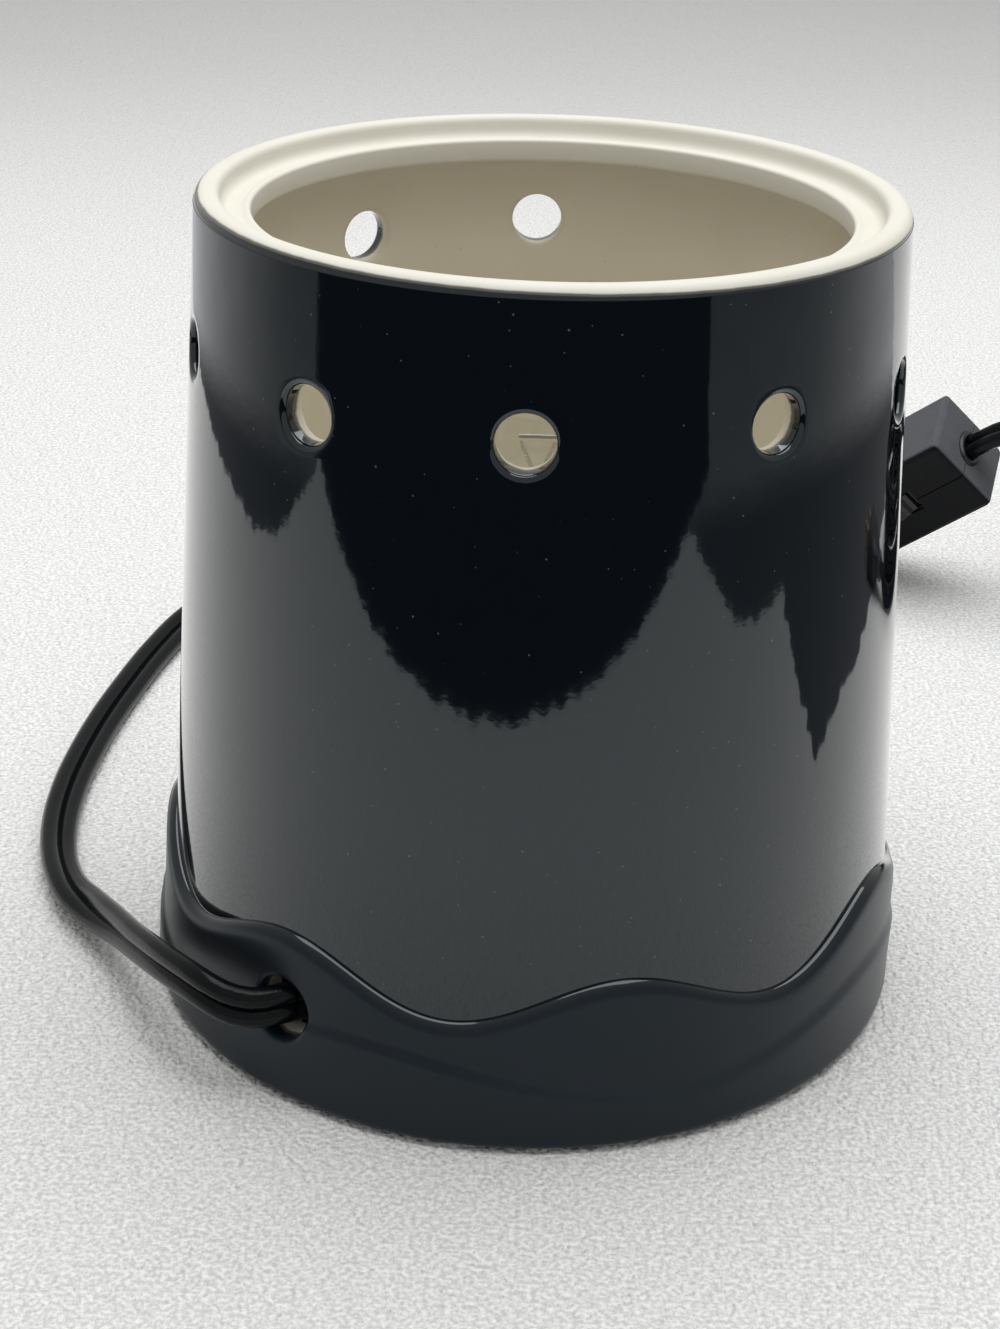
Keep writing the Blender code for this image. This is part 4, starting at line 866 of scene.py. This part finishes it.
# %% Bulb glass
GLOBE_RADIUS, GLOBE_HEIGHT, NECK_RADIUS, NECK_LENGTH, GLASS_THICK = 0.0175, 0.0965, 0.007, 0.004, 0.0008
GLOBE_SIDES, GLOBE_STEPS, GLOBE_END = 64, 28, -50
glass_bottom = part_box("bulb_glass")[0].z


def globe_profile(radius, neck):
    """Top of the globe down its side, in a soft sweep to the neck."""
    globe = arc((0, GLOBE_HEIGHT), radius, 90, GLOBE_END, GLOBE_STEPS)
    side, low = globe[-1]
    swept = [(neck + (side - neck) * (1 - ease(share)), low + (glass_bottom + NECK_LENGTH - low) * share)
             for share in (0.15, 0.3, 0.45, 0.6, 0.8, 1.0)]
    return [(0, GLOBE_HEIGHT + radius), *globe[1:], *swept, (neck, glass_bottom)]


profile = globe_profile(GLOBE_RADIUS, NECK_RADIUS)
profile += globe_profile(GLOBE_RADIUS - GLASS_THICK, NECK_RADIUS - GLASS_THICK)[::-1]
globe = to_piece("globe_glass", spin(profile, GLOBE_SIDES), "bulb", glass)
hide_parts("bulb_glass")

# %% [markdown]
# ## The in-line switch
#
# The switch keeps its CAD housing. Its sides are polished, and painted near black as painted shade, while its
# other faces have a fine texture. Two materials would need its faces sorted, so one material asks how far a
# point is from the housing's middle. Each end gains the oval collar that the cord passes through.

# %% Switch
SWITCH_WIDTH, POLISH_FROM, POLISH_TO, POLISH = 0.020, 0.0011, 0.0004, -0.2
SIDE_SHADE_BLACK = (0.0028, 0.0034, 0.0048, 1)
COLLAR_WIDE, COLLAR_HIGH, COLLAR_ROUND, COLLAR_SIDES, COLLAR_STEPS = 0.0046, 0.0029, 0.0008, 40, 12
switch_tree = moulded.node_tree
switch_middle = SWITCH_MATRIX.to_translation()
switch_place = switch_tree.nodes.new("ShaderNodeTexCoord").outputs["Object"]
across = add(switch_tree, "ShaderNodeVectorMath", {"operation": "DOT_PRODUCT"}, n0=switch_place,
             n1=switch_across)
aside = maths(switch_tree, "SUBTRACT", across.outputs["Value"], switch_middle.dot(switch_across))
aside = maths(switch_tree, "ABSOLUTE", aside)
polished = fade(switch_tree, aside, SWITCH_WIDTH / 2 - POLISH_FROM, SWITCH_WIDTH / 2 - POLISH_TO)
textured = switch_tree.nodes["Group"].outputs
shader = switch_tree.nodes["Principled BSDF"]
# painted shade: the sides are painted near black; the polish itself only lowers their roughness
shaded_side_colour = blend(switch_tree, polished, textured["Colour"], SIDE_SHADE_BLACK)
side_gloss = maths(switch_tree, "MULTIPLY_ADD", polished, POLISH, textured["Roughness"])
switch_tree.links.new(shaded_side_colour, shader.inputs["Base Color"])
switch_tree.links.new(side_gloss, shader.inputs["Roughness"])


def collar(name, side):
    """Rounded oval rim on one end of the switch."""
    bm = bmesh.new()
    loops = []
    end = side * SWITCH_LENGTH / 2
    for turn in (math.tau * index / COLLAR_SIDES for index in range(COLLAR_SIDES)):
        middle = Vector((end, COLLAR_WIDE * math.cos(turn), COLLAR_HIGH * math.sin(turn)))
        outward = Vector((0, COLLAR_HIGH * math.cos(turn), COLLAR_WIDE * math.sin(turn))).normalized()
        loop = []
        for part in (math.tau * step / COLLAR_STEPS for step in range(COLLAR_STEPS)):
            away = outward * math.cos(part) + Vector((side, 0, 0)) * math.sin(part)
            loop.append(bm.verts.new(SWITCH_MATRIX @ (middle + COLLAR_ROUND * away)))
        loops.append(loop)
    for near, far in zip(loops, loops[1:] + loops[:1]):
        bridge(bm, near, far)
    piece = to_piece(name, bm, "warmer", wheel_black)
    return piece


collars = [collar("switch_collar_low", -1), collar("switch_collar_high", 1)]

# %% [markdown]
# ## The tie
#
# The tie is a thin strap round the turns of the coil. It could be a box with a bevel, but a strap
# bends round its corners, so a small rounded section is carried round a rounded loop.

# %% Coil tie
TIE_TURN, TIE_WIDTH, TIE_THICK, TIE_ROUND, TIE_EDGE = 35, 0.006, 0.0008, 0.003, 0.0003
TIE_NEAR, TIE_FAR, TIE_LOW, TIE_HIGH = 0.0335, 0.04945, 0.0006, 0.0324


def rounded(half_width, half_height, radius, steps):
    """Outline of a rectangle with round corners, about its middle."""
    corners = ((1, 1, 0), (-1, 1, 90), (-1, -1, 180), (1, -1, 270))
    along, up = half_width - radius, half_height - radius
    return [point for x, y, turn in corners
            for point in arc((x * along, y * up), radius, turn, turn + 90, steps)]


def strap_loop():
    """Bmesh of the strap round the coil: a small rounded section carried round a rounded loop."""
    bm = bmesh.new()
    matrix = Matrix.Translation((*COIL_CENTRE, 0)) @ Matrix.Rotation(math.radians(TIE_TURN), 4, "Z")
    middle = Vector(((TIE_NEAR + TIE_FAR) / 2, 0, (TIE_LOW + TIE_HIGH) / 2))
    path = rounded((TIE_FAR - TIE_NEAR) / 2, (TIE_HIGH - TIE_LOW) / 2, TIE_ROUND, 8)
    loops = []
    for (x0, z0), (x, z), (x1, z1) in zip(path[-1:] + path, path, path[1:] + path[:1]):
        outward = Vector((z1 - z0, 0, x0 - x1)).normalized()
        loops.append([bm.verts.new(matrix @ (middle + Vector((x, u, z)) + outward * v))
                      for u, v in rounded(TIE_WIDTH / 2, TIE_THICK / 2, TIE_EDGE, 3)])
    for near, far in zip(loops, loops[1:] + loops[:1]):
        bridge(bm, near, far)
    return bm


tie = to_piece("coil_strap", strap_loop(), "warmer", tie_black)
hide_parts("coil_tie")

# %% [markdown]
# ## The plug
#
# The plug is one smooth moulding with ribs on its tail. Bevelled boxes would look stepped, so
# rounded sections of changing size are bridged along its length, and the ribs are sunk into the
# sections of the tail.

# %% Plug
PLUG_STATIONS = ((-0.020, 0.0045, 0.00325), (-0.010, 0.0055, 0.004), (0, 0.0094, 0.0056),
                 (0.010, 0.0125, 0.0075), (0.020, 0.0125, 0.0075), (0.0288, 0.0125, 0.0075),
                 (0.030, 0.0113, 0.0063))
PLUG_SQUARE, PLUG_SIDES, PLUG_STEP = 0.6, 48, 0.0005
RIB_PITCH, RIB_DEPTH, RIBS_FROM, RIBS_TO = 0.0034, 0.0006, -0.018, -0.002


def plug_moulding():
    """Bmesh of the plug: a smooth run of rounded sections with ribs on the tail."""
    bm = bmesh.new()
    loops = []
    for x, half_width, half_thick in smooth_route(PLUG_STATIONS, PLUG_STEP):
        ribbed = RIBS_FROM < x < RIBS_TO
        sunk = RIB_DEPTH * max(0.0, math.cos(math.tau * x / RIB_PITCH)) if ribbed else 0.0
        loop = []
        for turn in (math.tau * (index + 0.5) / PLUG_SIDES for index in range(PLUG_SIDES)):
            side, rise = math.cos(turn), math.sin(turn)
            y = math.copysign((half_width - sunk) * abs(side) ** PLUG_SQUARE, side)
            z = math.copysign((half_thick - sunk) * abs(rise) ** PLUG_SQUARE, rise)
            loop.append(bm.verts.new(PLUG_MATRIX @ Vector((x, y, z))))
        loops.append(loop)
    for near, far in zip(loops, loops[1:]):
        bridge(bm, near, far)
    bm.faces.new(loops[0][::-1])
    bm.faces.new(loops[-1])
    return bm


plug = to_piece("plug_moulding", plug_moulding(), "warmer", plug_black)
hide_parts("plug_body")

# %% [markdown]
# ## What the cords carry
#
# The switch sits on the first stretch of the cord, and the tie and the plug on the spare one.

# %% [markdown]
# ## Finishes for the CAD pieces
#
# The lamp holder, clamp, screws, feet and cover have the right shapes already. They could be
# modelled again, but it would gain nothing, so each keeps its shape and takes one of the materials
# above.

# %% CAD finishes
FINISHES = {
    "bottom_cover": cover_black, "cover_screw_1": zinc, "cover_screw_2": zinc, "rubber_foot_1": rubber,
    "rubber_foot_2": rubber, "rubber_foot_3": rubber, "rubber_foot_4": rubber, "crossbar": zinc,
    "threaded_nipple": brass, "lock_washer": zinc, "nipple_nut": brass, "socket_cap": zinc,
    "socket_body": phenolic, "socket_screw_shell": brass, "socket_centre_contact": brass,
    "bulb_screw_cap": brass, "bulb_insulator": phenolic, "bulb_centre_contact": nickel,
    "bulb_stem": stem_glass, "bulb_lead_wire_1": nickel, "bulb_lead_wire_2": nickel,
    "bulb_filament": tungsten, "cord_clamp": nylon, "cord_clamp_screw_1": zinc,
    "cord_clamp_screw_2": zinc, "switch_upper_half": moulded, "switch_lower_half": moulded,
    "switch_wheel": wheel_black, "switch_axle": zinc, "switch_contact_1": brass,
    "switch_contact_2": brass, "switch_screw_1": zinc, "switch_screw_2": zinc, "plug_blade_wide": brass,
    "plug_blade_narrow": brass,
}
for name, finish in FINISHES.items():
    nodes[name].data.materials.clear()
    nodes[name].data.materials.append(finish)
CORD_FINISHES = ((cord_to_switch, vinyl), (spare_cord, vinyl), (inner_cord, vinyl), (leads[0], lead_vinyl),
                 (leads[1], lead_vinyl))
for piece, finish in CORD_FINISHES:
    piece.data.materials.append(finish)
print(len(FINISHES), "CAD pieces and", len(CORD_FINISHES), "cords finished")

# %% [markdown]
# ## The floor
#
# The warmer stands on a pale sheet of fine foam. Displacement could raise its beads, but on so
# large a floor that is slow, so a bump does it. The sheet is painted a little greyer far back,
# where the photograph's background darkens.

# %% Floor
FLOOR_REACH, GREYER_FROM, GREYER_TO = 3, 0.42, 0.85
SPARKLE_FROM, SPARKLE_TO = 0.33, 0.70
FOAM_GREY, FOAM_PALE, FOAM_FAR_SHADE = (0.72, 0.72, 0.71, 1), (1.0, 1.0, 0.99, 1), (0.72, 0.72, 0.715, 1)
CREASE_HEIGHT, BEAD_HEIGHT, PILE_BUMP, PILE_DEPTH = 1.5, -0.7, 0.9, 0.0008


def flat_piece(name, corners):
    """Flat stage object with these corners."""
    bm = bmesh.new()
    bm.faces.new([bm.verts.new(corner) for corner in corners])
    mesh = bpy.data.meshes.new(name)
    bm.to_mesh(mesh)
    bm.free()
    piece = bpy.data.objects.new(name, mesh)
    scene.collection.objects.link(piece)
    return piece


foam = material("foam_sheet", FOAM_PALE[:3], 0.6, 0.1, 620, 0.0, Specular_IOR_Level=0.0)
foam_tree = foam.node_tree
sparkle = fade(foam_tree, noise(foam_tree, 1200.0, 2.0), SPARKLE_FROM, SPARKLE_TO)
sparkle = blend(foam_tree, sparkle, FOAM_GREY, FOAM_PALE)
foam_place = foam_tree.nodes.new("ShaderNodeTexCoord").outputs["Object"]
# painted shade: the sheet turns greyer far back
foam_back = add(foam_tree, "ShaderNodeSeparateXYZ", n0=foam_place).outputs[1]
foam_back = fade(foam_tree, foam_back, GREYER_FROM, GREYER_TO)
foam_tone = blend(foam_tree, foam_back, sparkle, FOAM_FAR_SHADE)
foam_tree.links.new(foam_tone, foam_tree.nodes["Group"].inputs["Colour"])
beads = add(foam_tree, "ShaderNodeTexVoronoi", {"feature": "SMOOTH_F1"}, Scale=1100.0,
            Vector=foam_place).outputs["Distance"]
creases = noise(foam_tree, 520.0, 6.0, (1.0, 0.5, 1.0), 25.0)
sunk_beads = maths(foam_tree, "MULTIPLY", beads, BEAD_HEIGHT)
pile = maths(foam_tree, "MULTIPLY_ADD", creases, CREASE_HEIGHT, sunk_beads)
pile = add(foam_tree, "ShaderNodeBump", Strength=PILE_BUMP, Distance=PILE_DEPTH, Height=pile)
foam_tree.links.new(pile.outputs[0], foam_tree.nodes["Principled BSDF"].inputs["Normal"])
floor = flat_piece("floor", [(x * FLOOR_REACH, y * FLOOR_REACH, 0)
                             for x, y in ((-1, -1), (1, -1), (1, 1), (-1, 1))])
floor.data.materials.append(foam)
print("floor:", len(foam_tree.nodes), "nodes")

# %% [markdown]
# ## Felt for the reflections
#
# A glossy black shell shows whatever lies round it. A picture of a room could stand in for that,
# but no image is used here. So black and grey felt with torn edges lies in front and at the sides.
# The camera, the shadows and the soft light pass it by, and only mirror reflections show it, so it may lie
# where a real sheet would be in the picture. Its tones are painted reflections: the black felt and a dark
# strip of the grey felt near its inner edge are painted shade, and the grey felt is paler far away and at the
# back, as painted light.

# %% Felt
REFLECTED_SHADE, FELT_FRONT, FELT_BACK = (0.075, 0.079, 0.085, 1), (0.30, 0.305, 0.31, 1), (0.54, 0.55, 0.56, 1)
PALE_FROM, PALE_TO, BACK_FROM, BACK_TO = 0.385, 0.465, -0.12, 0.28
CARD_LIFT, TEAR_STEP, TEAR_DEPTH = 0.002, 0.004, 0.007
black_reflection_felt = material("black_reflection_felt", (0.004, 0.005, 0.007), 0.9, 0.1, 40, 0.0)
grey_reflection_felt = material("grey_reflection_felt", FELT_FRONT[:3], 0.9, 0.15, 9, 0.0)
felt_tree = grey_reflection_felt.node_tree
felt_place = felt_tree.nodes.new("ShaderNodeTexCoord").outputs["Object"]
away = add(felt_tree, "ShaderNodeVectorMath", {"operation": "LENGTH"}, n0=felt_place).outputs["Value"]
felt_back = add(felt_tree, "ShaderNodeSeparateXYZ", n0=felt_place).outputs[1]
pale = blend(felt_tree, fade(felt_tree, felt_back, BACK_FROM, BACK_TO), FELT_FRONT, FELT_BACK)
# painted reflection: dark painted shade near the inner edge, paler painted light far away and at the back
reflected_tone = blend(felt_tree, fade(felt_tree, away, PALE_FROM, PALE_TO), REFLECTED_SHADE, pale)
felt_tree.links.new(reflected_tone, felt_tree.nodes["Group"].inputs["Colour"])
CARDS = {
    "front_card": ((-0.45, -0.15), (-1.4, -0.37), (-1.4, -1.6), (1.4, -1.6), (1.4, -1.306), (0.344, -0.320),
                   (0.0, -0.262)),
    "left_card": ((-0.40, -0.15), (-0.33, -0.03), (-0.325, 0.13), (-0.31, 0.21), (-0.285, 0.28),
                  (-0.235, 0.36), (-0.19, 0.50), (-0.15, 0.75), (-1.6, 0.75), (-1.6, -0.42)),
    "right_card": ((0.27, -0.306), (0.255, -0.16), (0.30, -0.10), (0.23, -0.055), (0.178, -0.026),
                   (0.205, 0.017), (0.22, 0.09), (0.25, 0.18), (0.29, 0.25), (0.36, 0.31), (0.41, 0.345),
                   (0.60, 0.45), (1.4, 0.75), (1.4, -1.306), (0.344, -0.320)),
}


def torn(corners, step, depth):
    """Closed outline with its long sides split up and pushed in and out by noise."""
    points = []
    for start, end in zip(corners, corners[1:] + corners[:1]):
        start, end = Vector((*start, CARD_LIFT)), Vector((*end, CARD_LIFT))
        parts = max(1, round((end - start).length / step))
        away = (end - start).cross(UP).normalized()
        for index in range(parts):
            place = start.lerp(end, index / parts)
            points.append(place + away * depth * mathutils_noise.noise(place / (3 * step)))
    return points


cards = [flat_piece(name, torn(corners, TEAR_STEP, TEAR_DEPTH)) for name, corners in CARDS.items()]
for card, finish in zip(cards, (black_reflection_felt, grey_reflection_felt, grey_reflection_felt)):
    card.data.materials.append(finish)
    card.visible_camera = card.visible_shadow = card.visible_diffuse = card.visible_transmission = False
print(len(cards), "felt cards")

# %% [markdown]
# ## Light
#
# One large soft light hangs overhead, and the sky around is a plain pale grey. Several lamps could
# shape the object more, but each would leave its own bright patch in the glaze. The Standard view
# transform shows a colour about as it is written.

# %% Light
SKY_COLOUR, SKY_STRENGTH = (1.0, 1.0, 0.985, 1), 0.47
LAMP_PLACE, LAMP_TARGET, LAMP_SIZE, LAMP_POWER = (0.05, 0.16, 1.0), (0, 0.0, 0.05), 1.0, 9.1
world = bpy.data.worlds.new("studio")
world.use_nodes = True
sky = world.node_tree.nodes["Background"]
sky.inputs["Color"].default_value = SKY_COLOUR
sky.inputs["Strength"].default_value = SKY_STRENGTH
scene.world = world
scene.view_settings.view_transform = "Standard"


def soft_light(name, place, target, size, power):
    """Square soft light at a place, turned to a target."""
    data = bpy.data.lights.new(name, "AREA")
    data.size = size
    data.energy = power
    light = bpy.data.objects.new(name, data)
    aim = (Vector(target) - Vector(place)).to_track_quat("-Z", "Y")
    light.matrix_world = Matrix.Translation(place) @ aim.to_matrix().to_4x4()
    scene.collection.objects.link(light)


soft_light("overhead", LAMP_PLACE, LAMP_TARGET, LAMP_SIZE, LAMP_POWER)
print(f"lamp {LAMP_POWER} W, sky {SKY_STRENGTH}")
